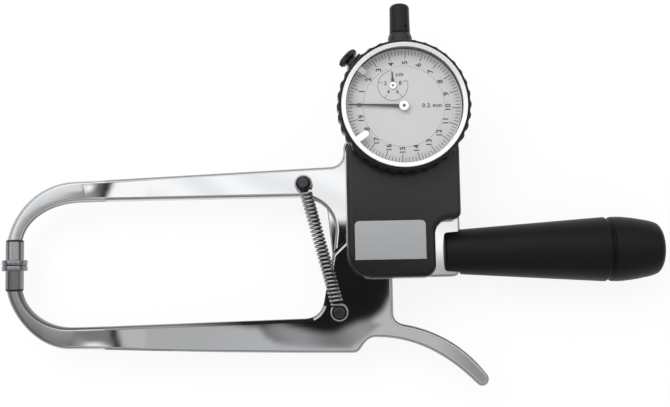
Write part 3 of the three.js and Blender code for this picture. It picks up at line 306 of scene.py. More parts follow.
# Buffing leaves a mirror that shows the cards over the arms with hardly any blur. Round the bends
# to the jaws the wheel reaches less well, and the polish turns satin and a little darker.
steel, steel_shader = new_material("mirror polished spring steel", "#D3D4D6", 1.0, 0.035)
fade(steel, steel_shader.inputs["Roughness"], "X", -0.158, -0.138, 0.3, 0.035)
# The lower arm's copy is coloured much darker at its bend: painted shade.
lower_steel_painted_shade = steel.copy()
lower_steel_painted_shade.name = "mirror polished steel of the lower arm"
lower_shader = lower_steel_painted_shade.node_tree.nodes["Principled BSDF"]
fade(steel, steel_shader.inputs["Base Color"], "X", -0.16, -0.138, "#BDBFC1", "#D3D4D6")
fade(lower_steel_painted_shade, lower_shader.inputs["Base Color"], "X", -0.16, -0.138, "#88898B", "#D3D4D6")
# Surface grinding is finer than the picture can show and gives the flanks a soft grey sheen; their darker
# grey colour is painted shade.
ground_steel_painted_shade, _ = new_material("ground steel flanks", "#66686A", 1.0, 0.3)
# Edges rounded on a belt catch a soft pale line.
broken_edge, _ = new_material("broken edges of the steel", "#A6A8AA", 1.0, 0.28)
# Painted reflection of the dark hub: next to it an edge is coloured nearly black, and greyer further out.
painted_hub_reflection, painted_hub_reflection_shader = new_material("polished edge beside the hub", "#1D1E1F", 1.0, 0.35)
fade(painted_hub_reflection, painted_hub_reflection_shader.inputs["Base Color"], "X", -0.1, -0.07, "#7C7E80", "#1D1E1F")
# Painted reflection: the inner flank is coloured pale like the table it mirrors, and dark in a line at its
# foot.
painted_flank_reflection, painted_flank_reflection_shader = new_material("polished inner flank", "#C9CBCD", 1.0, 0.2)
fade(painted_flank_reflection, painted_flank_reflection_shader.inputs["Base Color"], "Z", 0.0022, 0.0032, "#2A2B2C", "#C9CBCD")

TIP_START = -118.0  # the arms are forged round from here to the jaws
TIP_HALF, TIP_THICK = 3.15, 3.1
NEARLY_ROUND = 0.97  # how much of its thickness the rounding of a tip's edge takes
LINE_STEPS, BEND_STEPS, ROUND_STEPS = 12, 36, 8  # along a tip, round its bend, round each edge
HUB_LOW = -12  # edges below this get the painted reflection of the dark hub
FLANK, EDGE, LEVEL = 0.4, 0.95, 0.9999  # how far up a face looks: 0 on flanks, 1 on the flats
TIP_FLANK = 0.93  # inside the bend to a jaw the ground steel's painted shade goes further up


def bezier(start, first, second, end, steps):
    """Points along a curve after its start."""
    points = []
    for i in range(1, steps + 1):
        t = i / steps
        points.append((1 - t) ** 3 * Vector(start) + 3 * t * (1 - t) ** 2 * Vector(first)
                      + 3 * t * t * (1 - t) * Vector(second) + t ** 3 * Vector(end))
    return points


def forged_tip(outer, inner, inner_share):
    """A bar between two edges, flat and broad at its start and nearly round at the jaw."""
    shape = bmesh.new()
    rings = []
    fuller = NEARLY_ROUND * TIP_THICK - ARM_ROUND
    wider = TIP_HALF - (outer[-1] - inner[-1]).length / 2
    for i, (far, near) in enumerate(zip(outer, inner)):
        part = i / (len(outer) - 1)
        part = part * part * (3 - 2 * part)
        side = (far - near).normalized()
        half = (far - near).length / 2 + part * wider
        thick = ARM_HALF + part * (TIP_THICK - ARM_HALF)
        outer_round = ARM_ROUND + part * fuller
        inner_round = ARM_ROUND + part * inner_share * fuller
        ring = []
        for corner in range(4):
            round_off = outer_round if corner in (0, 3) else inner_round
            u = (half - round_off) * (1 if corner in (0, 3) else -1)
            v = (thick - round_off) * (1 if corner < 2 else -1)
            for step in range(ROUND_STEPS + 1):
                turn = math.radians(90 * (corner + step / ROUND_STEPS))
                flat = (far + near) / 2 + side * (u + round_off * math.cos(turn))
                ring.append(shape.verts.new((*flat, v + round_off * math.sin(turn))))
        rings.append(ring)
    for before, after in zip(rings, rings[1:]):
        for i in range(len(before)):
            j = (i + 1) % len(before)
            shape.faces.new([before[i], before[j], after[j], after[i]])
    shape.faces.new(rings[0])
    shape.faces.new(rings[-1])
    bmesh.ops.recalc_face_normals(shape, faces=shape.faces)
    return as_mesh(shape, "tip")


def with_tip(blank, outer_line, inner_line, outer_curve, inner_curve, inner_share):
    """An arm whose end is forged: lines lead to the bend as (point, point), curves go round it."""
    edges = []
    for (a, b), curve in ((outer_line, outer_curve), (inner_line, inner_curve)):
        a, b = Vector(a), Vector(b)
        start = a.lerp(b, (TIP_START - a.x) / (b.x - a.x))
        straight = [start.lerp(b, i / LINE_STEPS) for i in range(LINE_STEPS + 1)]
        edges.append(straight + bezier(b, *curve, BEND_STEPS))
    cut = block((-200, -100, -10), (TIP_START, 100, 10))
    plate = combined(blank, [cut], "DIFFERENCE")
    whole = bmesh.new()
    whole.from_mesh(plate)
    whole.from_mesh(forged_tip(*edges, inner_share))
    return as_mesh(whole, "arm")


def dull_flanks(made):
    """Gives the flanks and edges of a polished arm their duller finishes, and the painted shade and painted
    reflections on them.
    """
    for finish in (ground_steel_painted_shade, broken_edge, painted_hub_reflection, painted_flank_reflection):
        made.data.materials.append(finish)
    # ground's darker grey is painted shade; dark and low are the painted reflections of the hub and of the
    # table.
    ground, broken, dark, low = 1, 2, 3, 4
    bend = Vector((-130, JAW.y))
    for face in made.data.polygons:
        place = (1000 * (face.center - HINGE)).xy
        upright = abs(face.normal.z)
        straight = place.x > TIP_START
        inward = face.normal.xy.dot(bend - place) > 0 and place.y < JAW.y
        if upright < (TIP_FLANK if inward and place.x < TIP_START else FLANK):
            face.material_index = ground
        elif upright < EDGE and straight:
            face.material_index = broken
        turned_in = face.normal.y > 0.01 or (face.normal.x < -0.03 and place.x < 0)
        # Edges below the hub take its painted reflection.
        if straight and place.y < HUB_LOW and upright < LEVEL and turned_in:
            edge = broken if upright > FLANK else ground
            slant = face.normal.xy.normalized()
            in_corner = upright > FLANK and slant.x < -0.35 and slant.y > 0.3
            face.material_index = edge if place.x >= 0 or in_corner else dark
        # The inner flank of the upper arm takes the painted reflection of the table.
        if straight and place.x < 0 and place.y > 15 and face.normal.y < -0.9:
            face.material_index = low


fixed_blank = curve_plate(fixed_outline, -ARM_HALF, ARM_HALF, ARM_ROUND)
fixed_blank = with_tip(fixed_blank, ((-18.5, 32.8), (-133, 28.3)), ((-33, 19.9), (-130, 19.7)),
                       ((-148.5, 26.8), (-158.2, 15.5), (arm_tip.x - 2, arm_tip.y)),
                       ((-146.5, 19.7), (-155.6, 11), (arm_tip.x + 2, arm_tip.y)), 0.9)
cheek = curve_plate(cheek_outline, -ARM_HALF, -LAP_GAP, 0.5)
pocket = curve_plate(pocket_outline, -LAP_GAP, ARM_HALF + 1, 0)
fixed_arm = combined(combined(fixed_blank, [cheek], "UNION"), [pocket], "DIFFERENCE")
fixed_arm = finish_piece(fixed_arm, "polished_fixed_arm", steel)
dull_flanks(fixed_arm)
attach(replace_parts(fixed_arm, "fixed_arm"), "frame")

moving_blank = curve_plate(moving_outline, -ARM_HALF, ARM_HALF, ARM_ROUND)
moving_blank = with_tip(moving_blank, ((-70, -47.2), (-134, -44.9)), ((-31, -33.9), (-133.5, -36)),
                        ((-146, -44.2), (-157.9, -33), (lower_tip.x - 2, lower_tip.y)),
                        ((-147.5, -36), (-155.4, -26.8), (lower_tip.x + 2, lower_tip.y)), 0.35)
moving_arm = combined(moving_blank, [cylinder(STEP_R, -ARM_HALF - 1, LAP_GAP)], "DIFFERENCE")
moving_arm = finish_piece(moving_arm, "polished_moving_arm", lower_steel_painted_shade)
dull_flanks(moving_arm)
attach(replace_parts(moving_arm, "moving_arm"), "lever")

# Jaws: barrels turned from hardened steel with a thin flange, whose flat faces press on the fold
# of skin. They are pressed onto the arm ends and polished, and look darker than the arms.
FACE_R = 5.45
FACE_THICK = 2.4
FACE_GAP = 0.03  # between each closed face and the plane where they meet
BARREL_R, BARREL_ROUND = 3.9, 1.1
SOCKET_R, SOCKET_DEEP = 1.8, 6.3


def turned(profile, segments=96):
    """A profile of (radius, height) or (radius, height, rounding) turned about Z, in millimetres."""
    shape = bmesh.new()
    made = [shape.verts.new((p[0], 0, p[1])) for p in profile]
    for a, b in zip(made, made[1:]):
        shape.edges.new((a, b))
    for point, vert in zip(profile, made):
        if len(point) > 2:
            bmesh.ops.bevel(shape, geom=[vert], offset=point[2], segments=5, profile=0.5,
                            affect="VERTICES", material=-1)
    geometry = list(shape.verts) + list(shape.edges)
    bmesh.ops.spin(shape, geom=geometry, cent=(0, 0, 0), axis=(0, 0, 1), angle=2 * math.pi,
                   steps=segments, use_merge=True)
    bmesh.ops.remove_doubles(shape, verts=shape.verts, dist=1e-4)
    bmesh.ops.recalc_face_normals(shape, faces=shape.faces)
    return as_mesh(shape, "turned")


def turned_to(mesh, direction, at):
    """Turns a mesh drawn along Z to lie along a direction, with its start at a point."""
    spin = Vector((0, 0, 1)).rotation_difference(Vector(direction)).to_matrix().to_4x4()
    mesh.transform(Matrix.Translation(Vector(at).to_3d()) @ spin)
    return mesh


# Fine turning and a light polish blur what the barrels mirror into a few broad stripes.
jaw_steel, _ = new_material("turned and polished tool steel", "#86888B", 1.0, 0.22)
# Painted shade: the end rims are coloured dark, which draws a dark line where barrel and arm meet.
painted_rim_shade, _ = new_material("hardening scale on the barrel's end", "#2E2E30", 0.6, 0.45)
barrel_end = BARREL_LONG + 0.15
shade_from = barrel_end - BARREL_ROUND - 0.25  # just before the rounding of the rim
for name, body, side in (("fixed_jaw", "frame", 1), ("moving_jaw", "lever", -1)):
    mesh = turned([
        (0, 0), (FACE_R, 0, 0.5), (FACE_R, FACE_THICK, 0.5), (BARREL_R, FACE_THICK, 0.25),
        (BARREL_R, barrel_end, BARREL_ROUND), (SOCKET_R, barrel_end),
        (SOCKET_R, barrel_end - SOCKET_DEEP), (0, barrel_end - SOCKET_DEEP),
    ])
    turned_to(mesh, (0, side, 0), (JAW.x, JAW.y + side * FACE_GAP, 0))
    jaw = finish_piece(mesh, "turned_" + name, jaw_steel, level=False)
    jaw.data.materials.append(painted_rim_shade)
    # Faces from just before the rim's rounding to the end take the painted shade.
    for face in jaw.data.polygons:
        if abs(1000 * (face.center.y - HINGE.y) - JAW.y) > shade_from:
            face.material_index = 1
    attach(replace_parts(jaw, name), body)

# Hinge: a headed pin through both arms with a bronze bush, a washer and a nut, and the blackened
# finger that the moving arm's hub carries. They are only seen from the back and in the gaps.


def dress(material, *names):
    """Gives CAD nodes that are shown as they are their material."""
    for name in names:
        node[name].data.materials.clear()
        node[name].data.materials.append(material)


# Blackening takes the gleam from machined steel and leaves a soft dark highlight.
dark_steel, _ = new_material("blackened machined steel", "#3A3B3D", 0.9, 0.38)
# A fine lathe finish makes aluminium pale and even, with blurred reflections.
bright_alloy, _ = new_material("satin turned aluminium", "#B9BBBD", 1.0, 0.33)
# The bush is reamed and oiled: warm, with a soft shine.
bronze, _ = new_material("machined bronze", "#B5974A", 1.0, 0.3)
dress(dark_steel, "pivot_pin", "pivot_nut", "drive_finger", "finger_pin")
dress(bright_alloy, "pivot_washer")
dress(bronze, "pivot_bush")
dress(jaw_steel, "finger_roller")

# Springs: drawn music wire wound into close coils, with a loop at each end that sits in the groove
# of a bush. The bushes turn on shouldered posts with slotted heads, screwed into the arms.
POST_UP = Vector((-30.2, 25.1))
POST_LOW = Vector((-15.5, -31.1))
POST_R, POST_HEAD_R, POST_REACH = 1.5, 2.3, 13.0
SPRING_Z = 8.4
WIRE_R = 0.5
COILS, COIL_PITCH, COIL_R = 29, 1.72, 2.35
TURN_STEPS = 22
LOOP_R, LOOP_STEPS = 3.4, 40
LOOP_OPEN = math.radians(42)  # half of the gap where a loop runs into the coils

# Cold drawn wire is a dull grey metal with one soft line of light along each coil.
spring_wire, _ = new_material("drawn music wire", "#A6A8AB", 1.0, 0.36)
# Painted shade: the wire's side that faces the coil's axis is coloured dark, so that the gaps between the
# coils look dark.
painted_coil_shade, _ = new_material("dark oiled inside of the coils", "#2C2C2D", 0.6, 0.4)


def spring_route(side):
    """Points along the middle of the wire: a loop, the coils and a loop, on one side of the arms."""
    down = (POST_LOW - POST_UP).normalized()
    across = side * Vector((-down.y, down.x))
    long = (POST_LOW - POST_UP).length

    def at(s, e, k):
        flat = POST_UP + down * s + across * e
        return Vector((flat.x, flat.y, side * (SPRING_Z + k)))

    first = (long - COILS * COIL_PITCH) / 2
    loop = [LOOP_OPEN + (2 * math.pi - 2 * LOOP_OPEN) * i / LOOP_STEPS for i in range(LOOP_STEPS + 1)]
    upper = [at(LOOP_R * math.cos(a), LOOP_R * math.sin(a), 0) for a in loop]
    lower = [at(long - LOOP_R * math.cos(a), -LOOP_R * math.sin(a), 0) for a in reversed(loop)]
    turns = [math.pi + 2 * math.pi * i / TURN_STEPS for i in range(COILS * TURN_STEPS + 1)]
    coils = [at(first + COIL_PITCH * (a - math.pi) / (2 * math.pi), COIL_R * math.cos(a),
                -COIL_R * math.sin(a)) for a in turns]
    return upper + coils + lower


def wire_along(points, radius):
    """A round wire through the points, closed at both ends, as a mesh."""
    curve = bpy.data.curves.new("wire", "CURVE")
    curve.dimensions = "3D"
    curve.bevel_depth = radius
    curve.bevel_resolution = 3
    curve.use_fill_caps = True
    spline = curve.splines.new("POLY")
    spline.points.add(len(points) - 1)
    for made, point in zip(spline.points, points):
        made.co = (*point, 1)
    return evaluated(linked("wire", curve))


# Heat blueing leaves a dark grey that still shines.
post_steel, _ = new_material("blued turned steel", "#414245", 1.0, 0.26)
# The bushes are coloured near black, a dark ring between each post and its loop.
bush_steel, _ = new_material("oiled black steel bush", "#101011", 0.6, 0.35)
for face, side in (("front", 1), ("rear", -1)):
    mesh = wire_along(spring_route(side), WIRE_R)
    spring = finish_piece(mesh, face + "_music_wire", spring_wire, 60, False)
    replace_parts(spring, face + "_spring")
    spring.data.materials.append(painted_coil_shade)
    eye_up = HINGE + 0.001 * Vector((*POST_UP, side * SPRING_Z))
    eye_low = HINGE + 0.001 * Vector((*POST_LOW, side * SPRING_Z))
    along = (eye_low - eye_up).normalized()
    # Faces turned in towards the coil's axis take the painted shade.
    for wall in spring.data.polygons:
        out = wall.center - eye_up
        out = out - out.dot(along) * along
        if wall.normal.dot(out) < 0 and out.length < 0.001 * (COIL_R + 0.2):
            wall.material_index = 1
    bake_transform(spring)
    for end, spot, body, rider in (("upper", POST_UP, "frame", "_spring_eye"),
                                   ("lower", POST_LOW, "lever", "_spring_end")):
        post = turned([
            (0, 0.3), (POST_R, 0.3), (POST_R, 4.3), (POST_HEAD_R, 4.3), (POST_HEAD_R, 5.0),
            (POST_R, 5.0), (POST_R, 11.2), (POST_HEAD_R, 11.2, 0.2), (POST_HEAD_R, POST_REACH, 0.5),
            (0, POST_REACH),
        ], 64)
        slot = block((-3, -0.3, POST_REACH - 0.7), (3, 0.3, POST_REACH + 1))
        post = combined(post, [slot], "DIFFERENCE")
        bush = turned([
            (1.95, 5.3), (3.2, 5.3, 0.15), (3.2, 7.6, 0.2), (2.6, 7.6, 0.2), (2.6, 9.2, 0.1),
            (2.85, 9.2, 0.1), (2.85, 10.9, 0.15), (1.95, 10.9), (1.95, 5.3),
        ], 64)
        for mesh in (post, bush):
            if side < 0:
                mesh.transform(Matrix.Rotation(math.pi, 4, "X"))
            mesh.transform(Matrix.Translation(spot.to_3d()))
        made = finish_piece(post, f"{face}_{end}_shoulder_post", post_steel)
        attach(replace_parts(made, f"{face}_{end}_post"), body)
        made = finish_piece(bush, f"{face}_{end}_grooved_bush", bush_steel)
        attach(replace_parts(made, f"{face}_{end}_bush"), face + rider)

# Base plate and cover: a bright plate closes the milled pocket, and a pressed steel cover with a
# baked satin black enamel hides the gauge drive. A rim of the plate shows round the cover's foot.
COVER_LEFT, COVER_RIGHT, COVER_NARROW = -11.4, 37.5, 26.2
COVER_STEP, COVER_TOP, COVER_ROUND, COVER_HORN = 8.0, 16.5, 2.4, 41.5
BASE_BACK, BASE_TOP, BASE_RIM = 4.3, 5.5, 0.45
DIAL = Vector((13.4, 55.5))
CASE_R = 26.1
COVER_WALL, CASE_ROOM = 1.5, 0.6
COVER_SCREWS = [(-8.4, 24), (34, 15), (23.5, -13)]
HUB_HOLE_R, SCREW_HOLE_R = 7.1, 1.8


def cover_outline(grown, high):
    """The cover's outline grown outwards, up to a straight top, as curve parts."""
    left, right, low = COVER_LEFT - grown, COVER_RIGHT + grown, PLATE_LOW - grown
    narrow, step = COVER_NARROW + grown, COVER_STEP - grown
    big, small, inner, top = 11 + grown, 5 + grown, 6.5 - grown, 3.2 + grown
    return [
        (left, low + big), *arc(big, 180, 270, (left + big, low + big)),
        (narrow - small, low), *arc(small, 270, 360, (narrow - small, low + small)),
        (narrow, step - inner), *arc(inner, 180, 90, (narrow + inner, step - inner)),
        (right - top, step), *arc(top, 270, 360, (right - top, step + top)),
        (right, high - top), *arc(top, 0, 90, (right - top, high - top)),
        (left + top, high), *arc(top, 90, 180, (left + top, high - top)),
    ]


def spring_room():
    """The slot that lets the front spring swing past the cover's lower corner."""
    opened = Matrix.Rotation(OPENING, 2) @ POST_LOW - POST_UP
    half = COIL_R + WIRE_R + SWEEP
    slot = block((-half, -opened.length, -half), (half, 0, half))
    slot.transform(Matrix.Translation((*POST_UP, SPRING_Z))
                   @ Matrix.Rotation(math.atan2(opened.x, -opened.y), 4, "Z"))
    return slot


base = curve_plate(cover_outline(BASE_RIM, PLATE_HIGH), BASE_BACK, BASE_TOP, 0.15)
holes = [cylinder(HUB_HOLE_R, BASE_BACK - 1, BASE_TOP + 1)]
holes += [cylinder(SCREW_HOLE_R, BASE_BACK - 1, BASE_TOP + 1, p, 32) for p in COVER_SCREWS]
holes.append(spring_room())
base = finish_piece(combined(base, holes, "DIFFERENCE"), "bright_base_plate", steel)
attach(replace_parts(base, "base_plate"), "frame")

# Baked enamel is an even black with a broad faint gloss; towards the gauge its colour is painted lighter, a
# painted light.
enamel, enamel_shader = new_material("satin black baked enamel", "#1B1B1C", 0.0, 0.24, 0.28)
fade(enamel, enamel_shader.inputs["Base Color"], "Y", -0.056, -0.012, "#060607", "#202021")
cover_low = BASE_TOP + 0.3
outer = curve_plate(cover_outline(0, COVER_HORN), cover_low - 2 * COVER_ROUND, COVER_TOP, COVER_ROUND)
inside = curve_plate(cover_outline(-COVER_WALL, COVER_HORN - COVER_WALL), cover_low - 6,
                     COVER_TOP - COVER_WALL, 0.3)
seat = cylinder(CASE_R + CASE_ROOM, cover_low - 6, COVER_TOP + 1, DIAL, 160)
wall = cylinder(CASE_R + CASE_ROOM + COVER_WALL, cover_low - 7, COVER_TOP - 1.4, DIAL, 160)
room = combined(inside, [wall], "DIFFERENCE")
below = block((-60, -60, -20), (60, 60, cover_low))
cover = combined(outer, [below, seat, room, spring_room()], "DIFFERENCE")
cover = finish_piece(cover, "enamelled_cover", enamel)
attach(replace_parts(cover, "cover"), "frame")
dress(dark_steel, "cover_screw_1", "cover_screw_2", "cover_screw_3")

# Label: a thin plate of brushed aluminium, stuck on the cover, with its two top corners rounded.
# It has no print.
LABEL_LEFT, LABEL_RIGHT, LABEL_LOW, LABEL_HIGH = -8.3, 22.0, -8.9, 7.7
LABEL_CORNER = 2.0
label_seat = COVER_TOP + 0.3
# Fine brushing blurs all that the plate mirrors to one even silver grey.
label_metal, _ = new_material("brushed aluminium label", "#A3A4A6", 1.0, 0.34)
label = curve_plate([
    (LABEL_LEFT, LABEL_LOW), (LABEL_RIGHT, LABEL_LOW), (LABEL_RIGHT, LABEL_HIGH - LABEL_CORNER),
    *arc(LABEL_CORNER, 0, 90, (LABEL_RIGHT - LABEL_CORNER, LABEL_HIGH - LABEL_CORNER)),
    (LABEL_LEFT + LABEL_CORNER, LABEL_HIGH),
    *arc(LABEL_CORNER, 90, 180, (LABEL_LEFT + LABEL_CORNER, LABEL_HIGH - LABEL_CORNER)),
], label_seat - 0.28, label_seat + 0.2, 0.08)
label = finish_piece(label, "bare_label_plate", label_metal)
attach(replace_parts(label, "label_plate"), "frame")

# Handle: a grip moulded in matt black plastic over the frame's tang, with a V-groove before the
# separate end cap, whose end is domed. Its spark-eroded grain is really about 0.1 mm.
HANDLE_Y = -5.75
GRIP_START, GRIP_END = 31.0, 103.1
GRIP_R0, GRIP_R1, CAP_R, CAP_LONG = 9.8, 14.25, 14.2, 24.8
GRAIN = 0.45  # millimetres, drawn coarser than it is so that it shows

# The grained mould leaves a dry black whose highlights are broad and weak.
grip_black, grip_shader = new_material("matt black moulded ABS", "#101011", 0.0, 0.42, 0.12)
place = add_node(grip_black, "ShaderNodeTexCoord")
grain = add_node(grip_black, "ShaderNodeTexNoise", {"Scale": 1000 / GRAIN, "Detail": 2.0},
                 {"Vector": place.outputs["Object"]})
bump = add_node(grip_black, "ShaderNodeBump", {"Strength": 0.25, "Distance": 0.00005},
                {"Height": grain.outputs["Fac"]})
grip_black.node_tree.links.new(bump.outputs["Normal"], grip_shader.inputs["Normal"])

grip = turned([
    (0, GRIP_START), (GRIP_R0 - 0.35, GRIP_START, 1.3), (GRIP_R1, GRIP_END - 1.1, 0.5),
    (GRIP_R1 - 1, GRIP_END - 0.4, 0.2), (GRIP_R1 - 1, GRIP_END), (0, GRIP_END),
], 128)
turned_to(grip, (1, 0, 0), (0, HANDLE_Y, 0))
slot_half = ARM_HALF + 0.3
plate_slot = block((GRIP_START - 1, -22, -slot_half), (PLATE_RIGHT + 0.3, 22, slot_half))
grip = finish_piece(combined(grip, [plate_slot], "DIFFERENCE"), "moulded_grip", grip_black,
                    level=False)
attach(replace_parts(grip, "handle_grip"), "frame")

cap_start = GRIP_END + 0.3
end_cap = turned([
    (0, cap_start), (CAP_R - 1, cap_start), (CAP_R - 1, cap_start + 0.4, 0.2),
    (CAP_R, cap_start + 1.1, 0.5), (CAP_R + 0.1, cap_start + 5, 1.5), (CAP_R - 0.5, cap_start + 11, 2),
    (CAP_R - 1.9, cap_start + 18.5, 1.5), (CAP_R - 3.0, cap_start + 21.7, 1.0),
    (CAP_R - 5.3, cap_start + 23.3, 1.0),
    (CAP_R - 9, cap_start + CAP_LONG - 1.2, 1.0), (0, cap_start + CAP_LONG - 1),
], 128)
turned_to(end_cap, (1, 0, 0), (0, HANDLE_Y, 0))
end_cap = finish_piece(end_cap, "domed_end_cap", grip_black, 25, False)
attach(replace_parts(end_cap, "handle_cap", "handle_bolt"), "frame")

# Gauge case: a turned aluminium cup on a hollow stem, clamped inside the cover. Above it a collar
# carries the black dust cap with its vent hole, and the bezel clamp sits at the upper left.
STEM_Z = 10.8
BEZEL_R = 28.4
BAND_R, BAND_BACK, BEZEL_FRONT = 27.7, 26.4, 28.3
BEZEL_BACK = 18.3
CLAMP_ANGLE = 134.5
CLAMP_Z = 14.0

# Hot oxide turns steel black and keeps a faint satin gleam of the metal.
black_oxide, _ = new_material("black oxide turned steel", "#101011", 0.12, 0.36)
dress(bright_alloy, "gauge_case", "stem_clamp", "gauge_back")
dress(jaw_steel, "gauge_stem", "plunger", "contact_point")

collar_start = CASE_R + 0.4
collar = turned([
    (2.4, collar_start), (5.3, collar_start, 0.2), (5.3, 32.6, 0.3), (4.75, 34.3, 0.2),
    (4.5, 34.6), (2.4, 34.6), (2.4, collar_start),
], 96)
collar = finish_piece(turned_to(collar, (0, 1, 0), (DIAL.x, DIAL.y, STEM_Z)),
                      "top_collar", black_oxide)
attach(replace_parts(collar, "cap_collar"), "frame")

cap = turned([
    (2.7, 34.9), (4.5, 34.9, 0.15), (4.42, 38.0), (4.3, 45.0), (4.42, 46.3, 0.9), (3.2, 47.7, 1.2),
    (0, 47.9), (0, 46.1), (2.7, 46.1), (2.7, 34.9),
], 96)
cap = turned_to(cap, (0, 1, 0), (DIAL.x, DIAL.y, STEM_Z))
vent = turned_to(cylinder(0.45, 0, 8, segments=24), (0.25, 0, 1), (DIAL.x + 1.3, DIAL.y + 37.2, STEM_Z))
# A cap moulded in soft plastic is plain black with a weak blurred shine.
cap_black, _ = new_material("moulded black polythene", "#0C0C0D", 0.0, 0.4, 0.25)
cap = finish_piece(combined(cap, [vent], "DIFFERENCE"), "dust_cap_with_vent", cap_black,
                   level=False)
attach(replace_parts(cap, "dust_cap"), "frame")

to_clamp = (Matrix.Translation((DIAL.x, DIAL.y, CLAMP_Z))
            @ Matrix.Rotation(math.radians(CLAMP_ANGLE), 4, "Z"))
shoe = combined(block((26.4, -3.5, -5.5), (29.9, 3.5, 3.9)),
                [block((28.8, -3.5, -2), (29.9, 3.5, 8))], "UNION")
tapped = turned_to(cylinder(1.8, 20, 32, segments=32), (1, 0, 0), (0, 0, 0))
shoe = combined(shoe, [tapped], "DIFFERENCE")
shoe.transform(to_clamp)
shoe = finish_piece(shoe, "clamp_shoe", black_oxide)
softer = shoe.modifiers.new("worn edges", "BEVEL")
softer.width, softer.segments, softer.limit_method = 0.0003, 2, "ANGLE"
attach(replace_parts(shoe, "bezel_clamp_shoe"), "frame")

KNURLS, KNOB_R, KNOB_LONG, KNURL_DEEP = 48, 4.65, 2.9, 0.22


def raise_face(shape, high):
    """Makes a solid by extruding the only face of a bmesh straight up."""
    grown = bmesh.ops.extrude_face_region(shape, geom=[next(iter(shape.faces))])
    top = [g for g in grown["geom"] if isinstance(g, bmesh.types.BMVert)]
    bmesh.ops.translate(shape, verts=top, vec=(0, 0, high))
    bmesh.ops.recalc_face_normals(shape, faces=shape.faces)


head = bmesh.new()
bmesh.ops.create_circle(head, cap_ends=True, segments=2 * KNURLS, radius=KNOB_R)
for i, vert in enumerate(sorted(head.verts, key=lambda v: math.atan2(v.co.y, v.co.x))):
    if i % 2:
        vert.co *= 1 - KNURL_DEEP / KNOB_R
raise_face(head, KNOB_LONG)
knob = as_mesh(head, "knurled head")
edge = turned([(0, -0.1), (3.6, -0.1), (5.2, 1.2), (5.2, 1.7), (3.6, 3.0), (0, 3.0)], 96)
knob = combined(knob, [edge], "INTERSECT")
knob.transform(Matrix.Translation((0, 0, 31.5)))
shank = turned([(0, 24.5), (1.5, 24.5), (1.5, 30.2), (2.5, 30.2, 0.2), (2.5, 31.7), (0, 31.7)], 48)
knob = combined(knob, [shank], "UNION")
turned_to(knob, (1, 0, 0), (0, 0, 0))
knob.transform(to_clamp)
knob = finish_piece(knob, "knurled_clamp_screw", black_oxide, 25, False)
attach(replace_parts(knob, "bezel_clamp_screw"), "clamp")

# Bezel: a ring moulded in black phenolic, with 36 shallow scallops to turn it by and a plain
# band in front that holds the lens. It turns on the case with the dial ring under it.
SCALLOPS = 36
SCALLOP_DEEP = 0.7
GLASS_BACK, GLASS_THICK, GLASS_R = 26.6, 0.9, 26.5
SEAT_BACK, SEAT_R = 22.9, 25.0


def on_dial(mesh, centre=DIAL):
    """Moves a mesh drawn about Z to the dial's middle, or to another centre."""
    mesh.transform(Matrix.Translation((*centre, 0)))
    return mesh


# Phenolic comes from a polished mould, so the scallops carry soft small highlights.
phenolic, _ = new_material("black moulded phenolic", "#121213", 0.0, 0.3, 0.25)
# The painted wall under the lens shows as a thin grey rim and mirrors nothing.
seat_grey, _ = new_material("grey painted seat under the lens", "#7E7E7E", 0.0, 0.5)
rim = bmesh.new()
bmesh.ops.create_circle(rim, cap_ends=True, segments=SCALLOPS * 10, radius=BEZEL_R)
for vert in rim.verts:
    turn = SCALLOPS * math.atan2(vert.co.y, vert.co.x)
    hollow = max(0.0, 0.5 - 0.5 * math.cos(turn)) ** 1.6
    vert.co *= 1 - SCALLOP_DEEP * hollow / BEZEL_R
raise_face(rim, BAND_BACK - BEZEL_BACK)
edges = [e for e in rim.edges if abs(e.verts[0].co.z - e.verts[1].co.z) < 1e-6]
bmesh.ops.bevel(rim, geom=edges, offset=0.5, segments=3, profile=0.5, affect="EDGES", material=-1)
bmesh.ops.translate(rim, verts=rim.verts, vec=(0, 0, BEZEL_BACK))
scalloped = as_mesh(rim, "scalloped rim")
band = turned([
    (0, BAND_BACK - 2), (BAND_R, BAND_BACK - 2), (BAND_R, BEZEL_FRONT, 0.7), (0, BEZEL_FRONT),
], 180)
hollow = turned([
    (0, BEZEL_BACK - 1), (25.7, BEZEL_BACK - 1), (25.7, 22.0), (23.4, 22.0), (23.4, SEAT_BACK),
    (SEAT_R, SEAT_BACK), (SEAT_R, 26.3), (26.9, 26.3), (26.9, BEZEL_FRONT + 1), (0, BEZEL_FRONT + 1),
], 180)
ring = combined(combined(scalloped, [band], "UNION"), [hollow], "DIFFERENCE")
ring = finish_piece(on_dial(ring), "scalloped_bezel", phenolic, 30)
ring.data.materials.append(seat_grey)
for wall in ring.data.polygons:
    place = 1000 * (wall.center - HINGE)
    if place.z > SEAT_BACK + 0.05 and (place.xy - DIAL).length < SEAT_R + 0.3:
        wall.material_index = 1
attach(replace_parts(ring, "bezel"), "bezel")

# Dial: a fixed middle of lacquered brass sheet and a scale ring that turns with the bezel, both
# satin silver-white and printed in black, with a hundred lines to a turn of the pointer.
DIAL_FACE, DIAL_THICK = 24.0, 0.8
DIAL_R, DISC_R = 24.6, 17.3
INK_HIGH = DIAL_FACE + 0.03
ZERO = 177.3  # where the main pointer rests
LINES = 100
COUNTER = Vector((-4.45, 8.9))
COUNTER_ZERO = 92.4


def lettering(words, size, place, degrees=0.0, spread=1.0):
    """Flat printed letters centred on a place, in millimetres from the dial's middle."""
    curve = bpy.data.curves.new("lettering", "FONT")
    curve.body, curve.size, curve.space_character = words, size, spread
    curve.align_x, curve.align_y, curve.resolution_u = "CENTER", "CENTER", 4
    curve.offset = 0.025 * size  # a little bolder than the font
    mesh = evaluated(linked("lettering", curve))
    mesh.transform(Matrix.Translation((*place, INK_HIGH))
                   @ Matrix.Rotation(math.radians(degrees), 4, "Z"))
    return mesh


